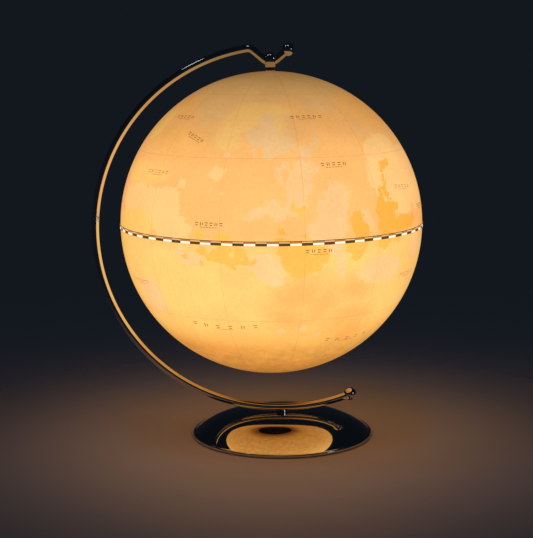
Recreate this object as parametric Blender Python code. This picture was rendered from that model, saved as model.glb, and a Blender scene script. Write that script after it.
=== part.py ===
"""A lamp globe that hangs from a bent steel rod on a domed round base.

Units are metres and +Z is up. The origin is the centre of the base's underside, the rod's
arc lies in the XZ plane with its back towards -X, and the front of the globe faces -Y.
The globe turns on a spindle, the hanger that holds the spindle rocks on the rod's V bend,
and a push button slides in the cap at the globe's south pole.
"""
import math

import bmesh
import bpy
from mathutils import Matrix, Vector

# ---- Driving dimensions ----
GAP = 0.0003                # clearance between pieces that touch

GLOBE_R = 0.160             # outside radius: a standard 320 mm globe
SHELL_WALL = 0.0018
GLOBE_X = -0.0103           # globe axis, measured from the middle of the base
GLOBE_Z = 0.232             # globe centre above the table
POLE_HOLE_R = 0.0043        # hole for the top bushing
LAMP_HOLE_R = 0.0245        # hole for the lamp at the south pole
BAND_HALF_HEIGHT = 0.0023
BAND_THICKNESS = 0.0003

ROD_R = 0.004               # 8 mm rod
ARC_R = 0.1942              # main arc of the rod, on its centre line
TIP_ARC_R = 0.185           # flatter arc from the base to the lower ball
SEAT_HALF_LENGTH = 0.004    # short straight stretch on the base
ROD_Z = 0.0299              # centre line of that stretch
TIP_ANGLE = math.radians(22.2)
LEG_ANGLE = math.radians(40)
VEE_DEPTH_Z = 0.3988        # where the centre lines of the two legs would cross
VEE_BEND_R = 0.011
PEAK_BEND_R = 0.009
END_LEG_LENGTH = 0.0243     # from that crossing to the middle of the upper ball
BALL_R = 0.0069
BALL_SETBACK = 0.0009       # the rod stops this far short of each ball's centre

BASE_R = 0.097
DOME_R = 0.095              # the dome ends here and the rolled rim begins
DOME_RISE = 0.020
DOME_POWER = 3.0            # flat on top, steep at the rim
RIM_TOP_Z = 0.004
RIM_BOTTOM_Z = 0.0009
RIM_INNER_R = 0.0918
BASE_WALL = 0.002
PAD_R = 0.090
PAD_HEIGHT = 0.0016
COVER_R = 0.0914
COVER_Z = (0.0019, 0.0033)
BALLAST_R = 0.070
BALLAST_Z = (0.0043, 0.0136)
COVER_SCREW_CIRCLE_R = 0.050
COVER_SCREWS = 3
BOSS_R = 0.0055
BOSS_TOP_Z = 0.0275

M5_R = 0.0025
M5_HOLE_R = M5_R + GAP

HUB_R = 0.00695
HUB_WALL_CLEARANCE = 0.0006
SPACER_Z = (0.1615, 0.1639)  # heights from here on are above the globe's centre
HUB_BOTTOM_Z = 0.1642
HUB_TOP_Z = 0.1799

CAP_R = 0.024
CAP_TOP_Z = -0.157
HOUSING_R = 0.0225
HOUSING_WALL = 0.0021
HOUSING_TOP_Z = -0.082
BOARD_R = 0.0172
BOARD_Z = (-0.1521, -0.1505)
POST_X = 0.0143
LEAD_PLACE = (0.003, 0.0132)
USB_Y = -0.013
CELL_R = 0.0091
LED_COUNT = 6
LED_CIRCLE_R = 0.013
DOME_LIGHT_R = 0.0224
LED_BOARD_Z = (-0.0817, -0.0801)

BUTTON_R = 0.0055
BUTTON_HOLE_R = 0.006

TURNS = 48                  # segments of the large turned pieces
LAMP_TURNS = 28             # segments of the lamp's pieces
SMALL_TURNS = 20            # segments of the smallest ones
SHELL_RINGS = 9
ROD_SIDES = 14
ARC_STEP = math.radians(5)


# ---- Helpers ----
def clear_scene():
    for thing in list(bpy.data.objects):
        bpy.data.objects.remove(thing, do_unlink=True)


def paint(name, colour, roughness, metallic=0.0, alpha=1.0):
    """A Principled material of one plain colour."""
    material = bpy.data.materials.new(name)
    material.use_nodes = True
    shader = material.node_tree.nodes["Principled BSDF"]
    shader.inputs["Base Color"].default_value = (*colour, 1.0)
    shader.inputs["Roughness"].default_value = roughness
    shader.inputs["Metallic"].default_value = metallic
    shader.inputs["Alpha"].default_value = alpha
    return material


def pivot(name, place, parent=None):
    """An empty on a joint's axis, which carries the pieces that move there."""
    empty = bpy.data.objects.new(name, None)
    empty.location = place
    bpy.context.collection.objects.link(empty)
    if parent is not None:
        empty.parent = parent
        empty.location = Vector(place) - parent.matrix_world.translation
    bpy.context.view_layer.update()
    return empty


def add_object(name, bm, material=None, parent=None):
    """Turn a bmesh into a smooth-shaded object in its parent's frame."""
    bmesh.ops.recalc_face_normals(bm, faces=bm.faces)
    mesh = bpy.data.meshes.new(name)
    bm.to_mesh(mesh)
    bm.free()
    mesh.shade_smooth()
    mesh.set_sharp_from_angle(angle=math.radians(35))
    thing = bpy.data.objects.new(name, mesh)
    bpy.context.collection.objects.link(thing)
    thing.parent = parent
    if material is not None:
        mesh.materials.append(material)
    return thing


def ring_of(bm, radius, height, turns):
    """Vertices of one turn of a lathe, or a single one where the outline meets the axis."""
    if radius == 0:
        return [bm.verts.new((0, 0, height))]
    angles = [2 * math.pi * i / turns for i in range(turns)]
    return [bm.verts.new((radius * math.cos(a), radius * math.sin(a), height)) for a in angles]


def join_rings(bm, first, second):
    """Faces between two turns; either may be a single vertex."""
    count = max(len(first), len(second))
    for i in range(count):
        after = (i + 1) % count
        corners = [first[i % len(first)], second[i % len(second)]]
        if len(second) > 1:
            corners.append(second[after])
        if len(first) > 1:
            corners.append(first[after])
        bm.faces.new(corners)


def turned(outline, turns=SMALL_TURNS):
    """Revolve a (radius, height) outline about Z: a closed one, or one with its ends on the axis."""
    bm = bmesh.new()
    is_solid = outline[0][0] == 0
    flat_start = is_solid and outline[0][1] == outline[1][1]
    flat_end = is_solid and outline[-1][1] == outline[-2][1]
    walls = outline[int(flat_start):len(outline) - int(flat_end)]
    rings = [ring_of(bm, radius, height, turns) for radius, height in walls]
    for first, second in zip(rings, rings[1:]):
        join_rings(bm, first, second)
    if flat_start:
        bm.faces.new(rings[0])
    if flat_end:
        bm.faces.new(rings[-1])
    if not is_solid:
        join_rings(bm, rings[-1], rings[0])
    return bm


def on_axis(outline):
    """Put the points that rounding has left beside the axis on it."""
    return [(0 if abs(radius) < 1e-6 else radius, height) for radius, height in outline]


def washer_outline(inner_r, outer_r, bottom, top):
    return [(inner_r, bottom), (outer_r, bottom), (outer_r, top), (inner_r, top)]


def disc_outline(radius, bottom, top):
    return [(0, bottom), (radius, bottom), (radius, top), (0, top)]


def prism(radius, bottom, top, sides):
    """A solid regular prism, such as a hexagon."""
    return turned(disc_outline(radius, bottom, top), sides)


def block(size, centre):
    """A box of the given full sizes."""
    bm = bmesh.new()
    bmesh.ops.create_cube(bm, size=1.0)
    bmesh.ops.scale(bm, vec=size, verts=bm.verts)
    bmesh.ops.translate(bm, vec=centre, verts=bm.verts)
    return bm


def stadium(width, depth, bottom, top, place_y):
    """An upright slot-shaped solid: a rectangle with round ends along X."""
    radius = depth / 2
    half = width / 2 - radius
    steps = 6
    corners = []
    for side in (1, -1):
        for i in range(steps + 1):
            angle = -math.pi / 2 + math.pi * i / steps
            x = side * (half + radius * math.cos(angle))
            corners.append((x, place_y + side * radius * math.sin(angle)))
    bm = bmesh.new()
    low = [bm.verts.new((x, y, bottom)) for x, y in corners]
    high = [bm.verts.new((x, y, top)) for x, y in corners]
    bm.faces.new(low)
    bm.faces.new(high)
    join_rings(bm, low, high)
    return bm


def moved(bm, offset):
    bmesh.ops.translate(bm, vec=offset, verts=bm.verts)
    return bm


def tool(name, bm, parent=None):
    """A cutter: shown as a wire, left out of the finished object."""
    cutter = add_object(name, bm, parent=parent)
    cutter.hide_render = True
    cutter.display_type = "WIRE"
    return cutter


def combine(target, cutter, operation="DIFFERENCE"):
    change = target.modifiers.new(cutter.name, "BOOLEAN")
    change.operation = operation
    change.solver = "EXACT"
    change.object = cutter


def drill(target, name, radius, place, bottom, top, turns=SMALL_TURNS):
    """Cut an upright round hole, in the target's own frame."""
    bm = moved(turned(disc_outline(radius, bottom, top), turns), (*place, 0))
    combine(target, tool(name, bm, target.parent))


def around(count, radius, start=0.0):
    """Places on a circle."""
    angles = [start + 2 * math.pi * i / count for i in range(count)]
    return [(radius * math.cos(a), radius * math.sin(a)) for a in angles]


# ---- The rod's centre line, as (x, z) points ----
def arc_points(centre, radius, start, end):
    """Points of an arc; the angle is taken from straight down, positive towards +X."""
    steps = max(2, math.ceil(abs(end - start) / ARC_STEP))
    points = []
    for i in range(steps + 1):
        angle = start + (end - start) * i / steps
        points.append(centre + radius * Vector((math.sin(angle), -math.cos(angle))))
    return points


def bend_points(corner, arriving, leaving, radius, steps):
    """A round bend between two directions that would meet at the corner."""
    turn = arriving.angle(leaving)
    tangent = radius * math.tan(turn / 2)
    start = corner - arriving * tangent
    side = (leaving - arriving).normalized()
    middle = corner + side * radius / math.cos(turn / 2)
    spoke = start - middle
    sign = math.copysign(1.0, arriving.x * leaving.y - arriving.y * leaving.x)
    points = []
    for i in range(steps + 1):
        points.append(middle + Matrix.Rotation(sign * turn * i / steps, 2) @ spoke)
    return points


def peak_angle(arc_centre, vee):
    """Where the left leg of the V runs into the main arc."""
    leg = Vector((-math.cos(LEG_ANGLE), math.sin(LEG_ANGLE)))
    gap = vee - arc_centre
    along = -gap.dot(leg) + math.sqrt(gap.dot(leg) ** 2 - gap.length_squared + ARC_R ** 2)
    corner = gap + leg * along
    return -math.pi + math.atan2(-corner.x, corner.y), arc_centre + corner


def rod_centre_line():
    seat = Vector((SEAT_HALF_LENGTH, ROD_Z))
    tip_centre = seat + Vector((0, TIP_ARC_R))
    arc_centre = Vector((-SEAT_HALF_LENGTH, ROD_Z + ARC_R))
    vee = Vector((GLOBE_X, VEE_DEPTH_Z))
    peak, corner = peak_angle(arc_centre, vee)

    down = Vector((math.cos(LEG_ANGLE), -math.sin(LEG_ANGLE)))
    up = Vector((math.cos(LEG_ANGLE), math.sin(LEG_ANGLE)))
    rise = Vector((-math.cos(peak), -math.sin(peak)))
    setback = PEAK_BEND_R * math.tan(rise.angle(down) / 2) / ARC_R

    points = arc_points(tip_centre, TIP_ARC_R, TIP_ANGLE - BALL_SETBACK / TIP_ARC_R, 0)
    points += arc_points(arc_centre, ARC_R, 0, peak + setback)
    points += bend_points(corner, rise, down, PEAK_BEND_R, 6)[1:]
    points += bend_points(vee, down, up, VEE_BEND_R, 10)
    points.append(vee + up * (END_LEG_LENGTH - BALL_SETBACK))
    return points


def vee_bottom_z():
    return VEE_DEPTH_Z + VEE_BEND_R * (1 / math.cos(LEG_ANGLE) - 1)


def tube_along(points, radius, sides):
    """A capped round tube on a flat path in the XZ plane."""
    bm = bmesh.new()
    rings = []
    for i, point in enumerate(points):
        ahead = points[min(i + 1, len(points) - 1)]
        behind = points[max(i - 1, 0)]
        run = (ahead - behind).normalized()
        across = Vector((-run.y, run.x))
        ring = []
        for k in range(sides):
            angle = 2 * math.pi * k / sides
            spot = point + across * radius * math.cos(angle)
            ring.append(bm.verts.new((spot.x, radius * math.sin(angle), spot.y)))
        rings.append(ring)
    for first, second in zip(rings, rings[1:]):
        join_rings(bm, first, second)
    bm.faces.new(rings[0])
    bm.faces.new(rings[-1])
    return bm


# ---- The base ----
def dome_height(radius):
    return RIM_TOP_Z + DOME_RISE * (1 - (radius / DOME_R) ** DOME_POWER)


def dome_inside(radius):
    """Underside of the dome: one wall thickness in, measured square to the surface."""
    slope = DOME_RISE * DOME_POWER / DOME_R * (radius / DOME_R) ** (DOME_POWER - 1)
    return dome_height(radius) - BASE_WALL * math.hypot(1, slope)


def make_base_shell(chrome):
    bolt_hole = 0.003
    steps = 9
    radii = [bolt_hole + (DOME_R - bolt_hole) * math.sin(math.pi / 2 * i / steps)
             for i in range(steps + 1)]
    outline = [(r, dome_height(r)) for r in radii]
    outline += [(0.0964, 0.0035), (BASE_R, 0.0026), (BASE_R, RIM_BOTTOM_Z)]
    outline += [(RIM_INNER_R, RIM_BOTTOM_Z), (RIM_INNER_R, dome_inside(RIM_INNER_R))]
    outline += [(r, dome_inside(r)) for r in reversed(radii) if r < RIM_INNER_R - 0.001]
    add_object("base_shell", turned(outline, TURNS), chrome)


def make_ballast(iron):
    plate = add_object("ballast_plate", turned(disc_outline(BALLAST_R, *BALLAST_Z), TURNS), iron)
    drill(plate, "cut_ballast_bolt", 0.003, (0, 0), 0, 0.02)
    drill(plate, "cut_ballast_counterbore", 0.006, (0, 0), 0, 0.0104)
    for i, place in enumerate(around(COVER_SCREWS, COVER_SCREW_CIRCLE_R), 1):
        drill(plate, f"cut_ballast_tapping_{i}", 0.0023, place, 0, 0.0111, 12)


def make_cover_and_pad(steel, foam):
    cover = add_object("bottom_cover", turned(disc_outline(COVER_R, *COVER_Z), TURNS), steel)
    sink = [(0, COVER_Z[0] - 0.0001), (0.0042, COVER_Z[0] - 0.0001), (0.0023, 0.0036), (0, 0.0036)]
    for i, place in enumerate(around(COVER_SCREWS, COVER_SCREW_CIRCLE_R), 1):
        cutter = tool(f"cut_countersink_{i}", moved(turned(sink, 16), (*place, 0)))
        combine(cover, cutter)
    add_object("base_pad", turned(disc_outline(PAD_R, 0, PAD_HEIGHT), TURNS), foam)


def make_cover_screws(steel):
    outline = [(0, 0.0020), (0.0038, 0.0020), (0.0020, 0.0037), (0.0020, 0.0105), (0, 0.0105)]
    for i, place in enumerate(around(COVER_SCREWS, COVER_SCREW_CIRCLE_R), 1):
        screw = add_object(f"cover_screw_{i}", moved(turned(outline, 16), (*place, 0)), steel)
        socket = moved(prism(0.0013, 0.001, 0.0033, 6), (*place, 0))
        combine(screw, tool(f"cut_cover_screw_socket_{i}", socket))


def make_arm_fixing(chrome, steel):
    """The saddle under the rod, and the bolt that pulls it down from inside the base."""
    boss_bottom = dome_height(0) + GAP
    boss = add_object("arm_boss", turned(disc_outline(BOSS_R, boss_bottom, BOSS_TOP_Z)), chrome)
    seat = [Vector((-0.012, ROD_Z)), Vector((0.012, ROD_Z))]
    combine(boss, tool("cut_boss_seat", tube_along(seat, ROD_R + GAP, ROD_SIDES)))
    drill(boss, "cut_boss_bolt", M5_HOLE_R, (0, 0), 0.02, 0.03)

    head = [(0, 0.0046), (0.0044, 0.0046), (0.0044, 0.0076), (M5_R, 0.0076), (M5_R, 0.0310)]
    bolt = add_object("arm_bolt", turned(head + [(0, 0.0310)]), steel)
    combine(bolt, tool("cut_bolt_socket", prism(0.0023, 0.004, 0.0066, 6)))

    lock = add_object("lock_washer", turned(washer_outline(M5_HOLE_R, 0.0045, 0.0079, 0.0089)), steel)
    combine(lock, tool("cut_lock_split", block((0.004, 0.0008, 0.003), (0.0045, 0, 0.0084))))
    add_object("bolt_washer", turned(washer_outline(M5_HOLE_R, 0.0056, 0.0092, 0.0101)), steel)


# ---- The arm ----
def make_arm(chrome):
    rod = add_object("arm_rod", tube_along(rod_centre_line(), ROD_R, ROD_SIDES), chrome)
    drill(rod, "cut_rod_tapping", M5_HOLE_R, (0, 0), 0.020, 0.0314, 16)


def make_ball(name, centre, towards_rod, chrome):
    """An end ball with the blind hole that takes the rod."""
    hole_r = ROD_R + GAP
    floor = BALL_SETBACK - GAP
    outline = [(0, floor), (hole_r, floor)]
    mouth = math.asin(hole_r / BALL_R)
    steps = 10
    for i in range(steps + 1):
        angle = mouth + (math.pi - mouth) * i / steps
        outline.append((BALL_R * math.sin(angle), BALL_R * math.cos(angle)))
    turn = Vector((0, 0, 1)).rotation_difference(towards_rod).to_matrix().to_4x4()
    bm = turned(on_axis(outline), ROD_SIDES + 6)
    bmesh.ops.transform(bm, matrix=Matrix.Translation(centre) @ turn, verts=bm.verts)
    add_object(name, bm, chrome)


def make_balls(chrome):
    tip = Vector((SEAT_HALF_LENGTH, 0, ROD_Z + TIP_ARC_R))
    tip += TIP_ARC_R * Vector((math.sin(TIP_ANGLE), 0, -math.cos(TIP_ANGLE)))
    back_along_tip = Vector((-math.cos(TIP_ANGLE), 0, -math.sin(TIP_ANGLE)))
    make_ball("lower_ball", tip, back_along_tip, chrome)
    leg = Vector((math.cos(LEG_ANGLE), 0, math.sin(LEG_ANGLE)))
    top = Vector((GLOBE_X, 0, VEE_DEPTH_Z)) + leg * END_LEG_LENGTH
    make_ball("upper_ball", top, -leg, chrome)


# ---- The hanger; its heights are above the globe's centre ----
def hub_outline(lift):
    """Bell-shaped hub on a spindle. Lift turns heights above the globe into heights above the V."""
    dome_centre = HUB_TOP_Z - HUB_R
    outline = [(0, 0.1476), (M5_R, 0.1476), (M5_R, HUB_BOTTOM_Z), (0.0054, HUB_BOTTOM_Z)]
    outline += [(0.0063, 0.1658), (0.0068, 0.1680), (HUB_R, 0.1702)]
    steps = 6
    for i in range(steps + 1):
        angle = math.pi / 2 * i / steps
        outline.append((HUB_R * math.cos(angle), dome_centre + HUB_R * math.sin(angle)))
    return on_axis([(r, z + lift) for r, z in outline])


def make_hanger(rock, chrome, steel, black):
    lift = GLOBE_Z - vee_bottom_z()
    hub = add_object("hanger_hub", turned(hub_outline(lift), LAMP_TURNS), chrome, rock)
    line = [p for p in rod_centre_line() if p.x > GLOBE_X - 0.030 and p.y > GLOBE_Z]
    hole = [p - Vector((0, HUB_WALL_CLEARANCE - GAP)) for p in line]
    combine(hub, tool("cut_hub_hole", tube_along(hole, ROD_R + HUB_WALL_CLEARANCE, 20)))

    low, high = SPACER_Z
    waist = (low + high) / 2
    spool = [(M5_HOLE_R, low), (0.0047, low), (0.0046, low + 0.0004), (0.0036, waist)]
    spool += [(0.0044, high - 0.0003), (0.0046, high), (M5_HOLE_R, high)]
    spool = [(r, z + lift) for r, z in spool]
    add_object("neck_spacer", turned(spool), black, rock)

    ring = washer_outline(M5_HOLE_R, 0.006, 0.1529 + lift, 0.1539 + lift)
    add_object("spindle_washer", turned(ring), steel, rock)
    nut = add_object("spindle_nut", prism(0.0046, 0.1486 + lift, 0.1526 + lift, 6), steel, rock)
    drill(nut, "cut_spindle_nut", M5_HOLE_R, (0, 0), 0.14 + lift, 0.16 + lift)


# ---- The globe; heights are above its centre ----
def shell_arc(radius, hole_r, seam):
    """Half a meridian, from the pole hole down to the seam, as (radius, height)."""
    start = math.asin(hole_r / radius)
    end = math.acos(seam / radius)
    angles = [start + (end - start) * i / SHELL_RINGS for i in range(SHELL_RINGS + 1)]
    return [(radius * math.sin(a), radius * math.cos(a)) for a in angles]


def make_shells(spin, plastic, ring_plastic, tape):
    seam = GAP / 2
    inner_r = GLOBE_R - SHELL_WALL
    for name, hole_r, side in (("upper_shell", POLE_HOLE_R, 1), ("lower_shell", LAMP_HOLE_R, -1)):
        outline = shell_arc(GLOBE_R, hole_r, seam) + shell_arc(inner_r, hole_r, seam)[::-1]
        outline = [(r, side * z) for r, z in outline]
        add_object(name, turned(outline, TURNS), plastic, spin)

    tape_r = GLOBE_R + GAP
    band = washer_outline(tape_r, tape_r + BAND_THICKNESS, -BAND_HALF_HEIGHT, BAND_HALF_HEIGHT)
    add_object("equator_band", turned(band, TURNS), tape, spin)
    ring = washer_outline(0.1550, inner_r - 0.0012, -0.006, 0.006)
    add_object("joining_ring", turned(ring, TURNS), ring_plastic, spin)


def make_top_bushing(spin, natural, black):
    """The spindle's bearing in the north pole, and the nut that clamps it to the shell."""
    sleeve = [(M5_HOLE_R, 0.1542), (0.0040, 0.1542), (0.0040, 0.1603), (0.0052, 0.1603)]
    sleeve += [(0.0052, 0.1609), (0.0048, 0.1612), (M5_HOLE_R, 0.1612)]
    add_object("top_bushing", turned(sleeve), natural, spin)
    nut = [(POLE_HOLE_R, 0.1548), (0.0084, 0.1548), (0.0090, 0.1572), (POLE_HOLE_R, 0.1572)]
    add_object("bushing_nut", turned(nut), black, spin)


def make_lamp_housing(spin, white, black):
    collar = [(0.0229, -0.1558), (0.0320, -0.1540), (0.0320, -0.1524), (0.0262, -0.1511)]
    collar += [(0.0262, -0.1440), (0.0229, -0.1440)]
    add_object("lamp_collar", turned(collar, LAMP_TURNS), white, spin)
    bore_r = HOUSING_R - HOUSING_WALL
    tube = washer_outline(bore_r, HOUSING_R, CAP_TOP_Z + GAP, HOUSING_TOP_Z)
    add_object("lamp_housing", turned(tube, LAMP_TURNS), white, spin)

    # The cap's outside is part of the globe's own sphere.
    skirt_top = -0.1495
    steps = 5
    radii = [CAP_R * i / steps for i in range(steps + 1)]
    outline = [(r, -math.sqrt(GLOBE_R ** 2 - r ** 2)) for r in radii]
    outline += [(CAP_R, CAP_TOP_Z), (bore_r - GAP, CAP_TOP_Z), (bore_r - GAP, skirt_top)]
    outline += [(0.0176, skirt_top), (0.0176, CAP_TOP_Z), (0, CAP_TOP_Z)]
    cap = add_object("bottom_cap", turned(outline, LAMP_TURNS), black, spin)
    for side in (1, -1):
        word = "right" if side > 0 else "left"
        post = moved(turned(disc_outline(0.0024, -0.1575, -0.1524), 16), (side * POST_X, 0, 0))
        combine(cap, tool(f"join_post_{word}", post, spin), "UNION")
        drill(cap, f"cut_post_{word}", 0.0013, (side * POST_X, 0), -0.1559, -0.150, 12)
    drill(cap, "cut_button_hole", BUTTON_HOLE_R, (0, 0), -0.165, -0.150)
    combine(cap, tool("cut_usb_slot", stadium(0.0096, 0.0038, -0.165, -0.150, USB_Y), spin))


def make_electronics(spin, board_green, steel, black, metal):
    board = add_object("control_board", turned(disc_outline(BOARD_R, *BOARD_Z), LAMP_TURNS), board_green, spin)
    screw = [(0, -0.1556), (0.0010, -0.1556), (0.0010, BOARD_Z[1] + GAP), (0.0023, BOARD_Z[1] + GAP)]
    screw += [(0.0023, -0.1492), (0.0018, -0.1489), (0, -0.1489)]
    for i, side in enumerate((1, -1), 1):
        drill(board, f"cut_board_hole_{i}", 0.0013, (side * POST_X, 0), -0.160, -0.145, 12)
        fixing = moved(turned(screw, 12), (side * POST_X, 0, 0))
        add_object(f"board_screw_{i}", fixing, steel, spin)

    body = add_object("tact_switch", block((0.006, 0.006, 0.0016), (0, 0, -0.1532)), black, spin)
    plunger = turned(disc_outline(0.0015, -0.1547, -0.1535), 16)
    combine(body, tool("join_plunger", plunger, spin), "UNION")

    usb = add_object("usb_socket", stadium(0.0090, 0.0032, -0.1592, -0.1524, USB_Y), metal, spin)
    combine(usb, tool("cut_usb_mouth", stadium(0.0082, 0.0024, -0.1600, -0.1537, USB_Y), spin))
    tongue = block((0.0066, 0.0007, 0.0050), (0, USB_Y, -0.1557))
    combine(usb, tool("join_usb_tongue", tongue, spin), "UNION")


def make_battery(spin, wrap, foam, red, black):
    cell = [(0, -0.1502), (CELL_R, -0.1502), (CELL_R, -0.0882), (0.0086, -0.0877)]
    cell += [(0.0086, -0.0870), (CELL_R, -0.0866), (CELL_R, -0.0852), (0.0028, -0.0852)]
    cell += [(0.0028, -0.0842), (0, -0.0842)]
    add_object("battery_cell", turned(cell, LAMP_TURNS), wrap, spin)
    ring = washer_outline(CELL_R + GAP, HOUSING_R - HOUSING_WALL - GAP, -0.122, -0.114)
    spacer = add_object("cell_spacer", turned(ring, LAMP_TURNS), foam, spin)
    for name, side, colour in (("lead_red", 1, red), ("lead_black", -1, black)):
        place = (side * LEAD_PLACE[0], LEAD_PLACE[1])
        drill(spacer, f"cut_{name}_hole", 0.0010, place, -0.125, -0.110, 12)
        lead = moved(prism(0.0006, BOARD_Z[1] + GAP, HOUSING_TOP_Z, 10), (*place, 0))
        add_object(name, lead, colour, spin)


def make_light(spin, aluminium, chip, opal):
    add_object("led_board", turned(disc_outline(0.0216, *LED_BOARD_Z), LAMP_TURNS), aluminium, spin)
    height = 0.0008
    middle = LED_BOARD_Z[1] + GAP + height / 2
    for i, (x, y) in enumerate(around(LED_COUNT, LED_CIRCLE_R), 1):
        add_object(f"led_{i}", block((0.0035, 0.0035, height), (x, y, middle)), chip, spin)
    steps = 5
    foot = LED_BOARD_Z[1] + GAP
    angles = [math.pi / 2 * i / steps for i in range(steps + 1)]
    outline = []
    for radius, order in ((DOME_LIGHT_R - 0.0016, angles[::-1]), (DOME_LIGHT_R, angles)):
        outline += [(radius * math.cos(a), foot + radius * math.sin(a)) for a in order]
    add_object("led_diffuser", turned(on_axis(outline), LAMP_TURNS), opal, spin)


def make_button(press, black):
    """Heights are above the pivot, which sits on the pole."""
    outline = [(0, -0.0009), (0.0050, -0.0009), (BUTTON_R, -0.0004), (BUTTON_R, 0.0033)]
    outline += [(0.0074, 0.0033), (0.0074, 0.0040), (0, 0.0040)]
    add_object("power_button", turned(outline), black, press)


def main():
    clear_scene()
    chrome = paint("polished_chrome", (0.72, 0.73, 0.75), 0.05, 1.0)
    steel = paint("zinc_plated_steel", (0.55, 0.56, 0.58), 0.35, 1.0)
    iron = paint("cast_iron", (0.08, 0.08, 0.085), 0.7, 0.6)
    foam = paint("black_eva_foam", (0.02, 0.02, 0.022), 0.9)
    plastic = paint("translucent_globe_shell", (0.93, 0.75, 0.45), 0.35)
    tape = paint("equator_tape", (0.85, 0.78, 0.62), 0.5)
    white = paint("white_abs", (0.85, 0.85, 0.83), 0.4)
    black = paint("black_abs", (0.03, 0.03, 0.032), 0.45)
    natural = paint("natural_acetal", (0.87, 0.85, 0.80), 0.4)
    board_green = paint("circuit_board", (0.03, 0.22, 0.10), 0.5)
    aluminium = paint("led_board_aluminium", (0.80, 0.80, 0.80), 0.4, 0.8)
    wrap = paint("cell_wrap", (0.10, 0.25, 0.55), 0.35)
    red = paint("red_lead", (0.6, 0.03, 0.02), 0.45)
    chip = paint("led_chip", (0.95, 0.80, 0.25), 0.4)
    opal = paint("opal_diffuser", (0.95, 0.94, 0.90), 0.5)

    make_base_shell(chrome)
    make_ballast(iron)
    make_cover_and_pad(steel, foam)
    make_cover_screws(steel)
    make_arm_fixing(chrome, steel)
    make_arm(chrome)
    make_balls(chrome)

    rock = pivot("rock_pivot", (GLOBE_X, 0, vee_bottom_z()))
    spin = pivot("spin_pivot", (GLOBE_X, 0, GLOBE_Z), rock)
    press = pivot("press_pivot", (GLOBE_X, 0, GLOBE_Z - GLOBE_R), spin)
    make_hanger(rock, chrome, steel, black)
    make_shells(spin, plastic, white, tape)
    make_top_bushing(spin, natural, black)
    make_lamp_housing(spin, white, black)
    make_electronics(spin, board_green, steel, black, steel)
    make_battery(spin, wrap, foam, red, black)
    make_light(spin, aluminium, chip, opal)
    make_button(press, black)


main()
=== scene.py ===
# %% [markdown]
# # A lamp globe on a chromed arm
# The real thing is a moulded plastic ball with a map printed on it and a lamp inside, hung
# from a bent steel rod that stands on a polished dome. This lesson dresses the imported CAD
# model: it rebuilds the surfaces that the eye meets at a fine resolution, and gives every
# piece, also those inside, a material made from nodes. The model comes first, because
# every place in this script is taken from it.

# %% Load the frame
import math
import random

import bmesh
import bpy
import numpy as np
from mathutils import Matrix, Vector


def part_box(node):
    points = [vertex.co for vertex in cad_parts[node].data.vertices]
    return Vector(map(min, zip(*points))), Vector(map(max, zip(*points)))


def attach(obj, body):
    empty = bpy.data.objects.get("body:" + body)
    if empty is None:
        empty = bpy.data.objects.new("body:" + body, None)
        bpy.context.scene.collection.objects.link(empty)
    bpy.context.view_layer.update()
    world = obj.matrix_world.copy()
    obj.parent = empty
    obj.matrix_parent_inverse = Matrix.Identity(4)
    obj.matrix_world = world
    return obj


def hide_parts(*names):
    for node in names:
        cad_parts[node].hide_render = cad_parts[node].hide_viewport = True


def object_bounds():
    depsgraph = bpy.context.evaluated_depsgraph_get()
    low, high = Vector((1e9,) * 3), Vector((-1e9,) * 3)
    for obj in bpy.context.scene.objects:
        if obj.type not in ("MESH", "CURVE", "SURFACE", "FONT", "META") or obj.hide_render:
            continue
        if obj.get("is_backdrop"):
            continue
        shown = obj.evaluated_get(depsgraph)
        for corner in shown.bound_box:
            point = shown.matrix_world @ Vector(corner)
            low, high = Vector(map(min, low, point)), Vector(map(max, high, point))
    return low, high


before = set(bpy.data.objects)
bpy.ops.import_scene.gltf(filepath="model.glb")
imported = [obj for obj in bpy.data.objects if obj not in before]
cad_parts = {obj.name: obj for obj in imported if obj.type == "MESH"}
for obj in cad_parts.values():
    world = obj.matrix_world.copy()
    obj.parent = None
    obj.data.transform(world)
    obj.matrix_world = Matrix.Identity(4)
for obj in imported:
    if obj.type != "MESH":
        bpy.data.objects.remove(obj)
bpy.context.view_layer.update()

# %% [markdown]
# ## Driving sizes
# All sizes are in metres. The globe's middle and the tape's height come from the box of the
# equator band's CAD node, so this script follows the model when it changes. The rest are the
# same named sizes that a drawing of the object would give.

# %% Sizes
MM = 0.001
GAP = 0.3 * MM

band_low, band_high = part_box("equator_band")
GLOBE = (band_low + band_high) / 2
GLOBE_R = 160 * MM
SHELL_WALL = 1.8 * MM
POLE_HOLE_R = 4.3 * MM
LAMP_HOLE_R = 24.5 * MM

ROD_R = 4 * MM
ARC_R = 194.2 * MM
TIP_ARC_R = 185 * MM
SEAT_HALF = 4 * MM
ROD_Z = 29.9 * MM
TIP_ANGLE = math.radians(22.2)
LEG_ANGLE = math.radians(40)
VEE = Vector((GLOBE.x, 398.8 * MM))
VEE_BEND_R = 11 * MM
PEAK_BEND_R = 9 * MM
END_LEG = 24.3 * MM
BALL_R = 6.9 * MM
BALL_SETBACK = 0.9 * MM

print("Globe's centre in mm:", [round(c / MM, 2) for c in GLOBE])

# %% [markdown]
# ## Helpers for nodes and colours
# Colours are written as sRGB hex, as a paint chart gives them, and one function turns them
# into the linear values that the renderer counts in. One function adds any node, with its
# settings and with what goes into its sockets: a value, another node's socket, or a node,
# which stands for its first socket. Materials and geometry trees both use it. Every material
# opens with the place on the piece and closes with one shader.

# %% Helpers for nodes
def linear(code, share=1.0):
    """Linear RGBA of an sRGB hex colour, times a share of its light."""
    values = [int(code[i:i + 2], 16) / 255 for i in (0, 2, 4)]
    curved = [v / 12.92 if v <= 0.04045 else ((v + 0.055) / 1.055) ** 2.4 for v in values]
    return (*(share * v for v in curved), 1.0)


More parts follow.
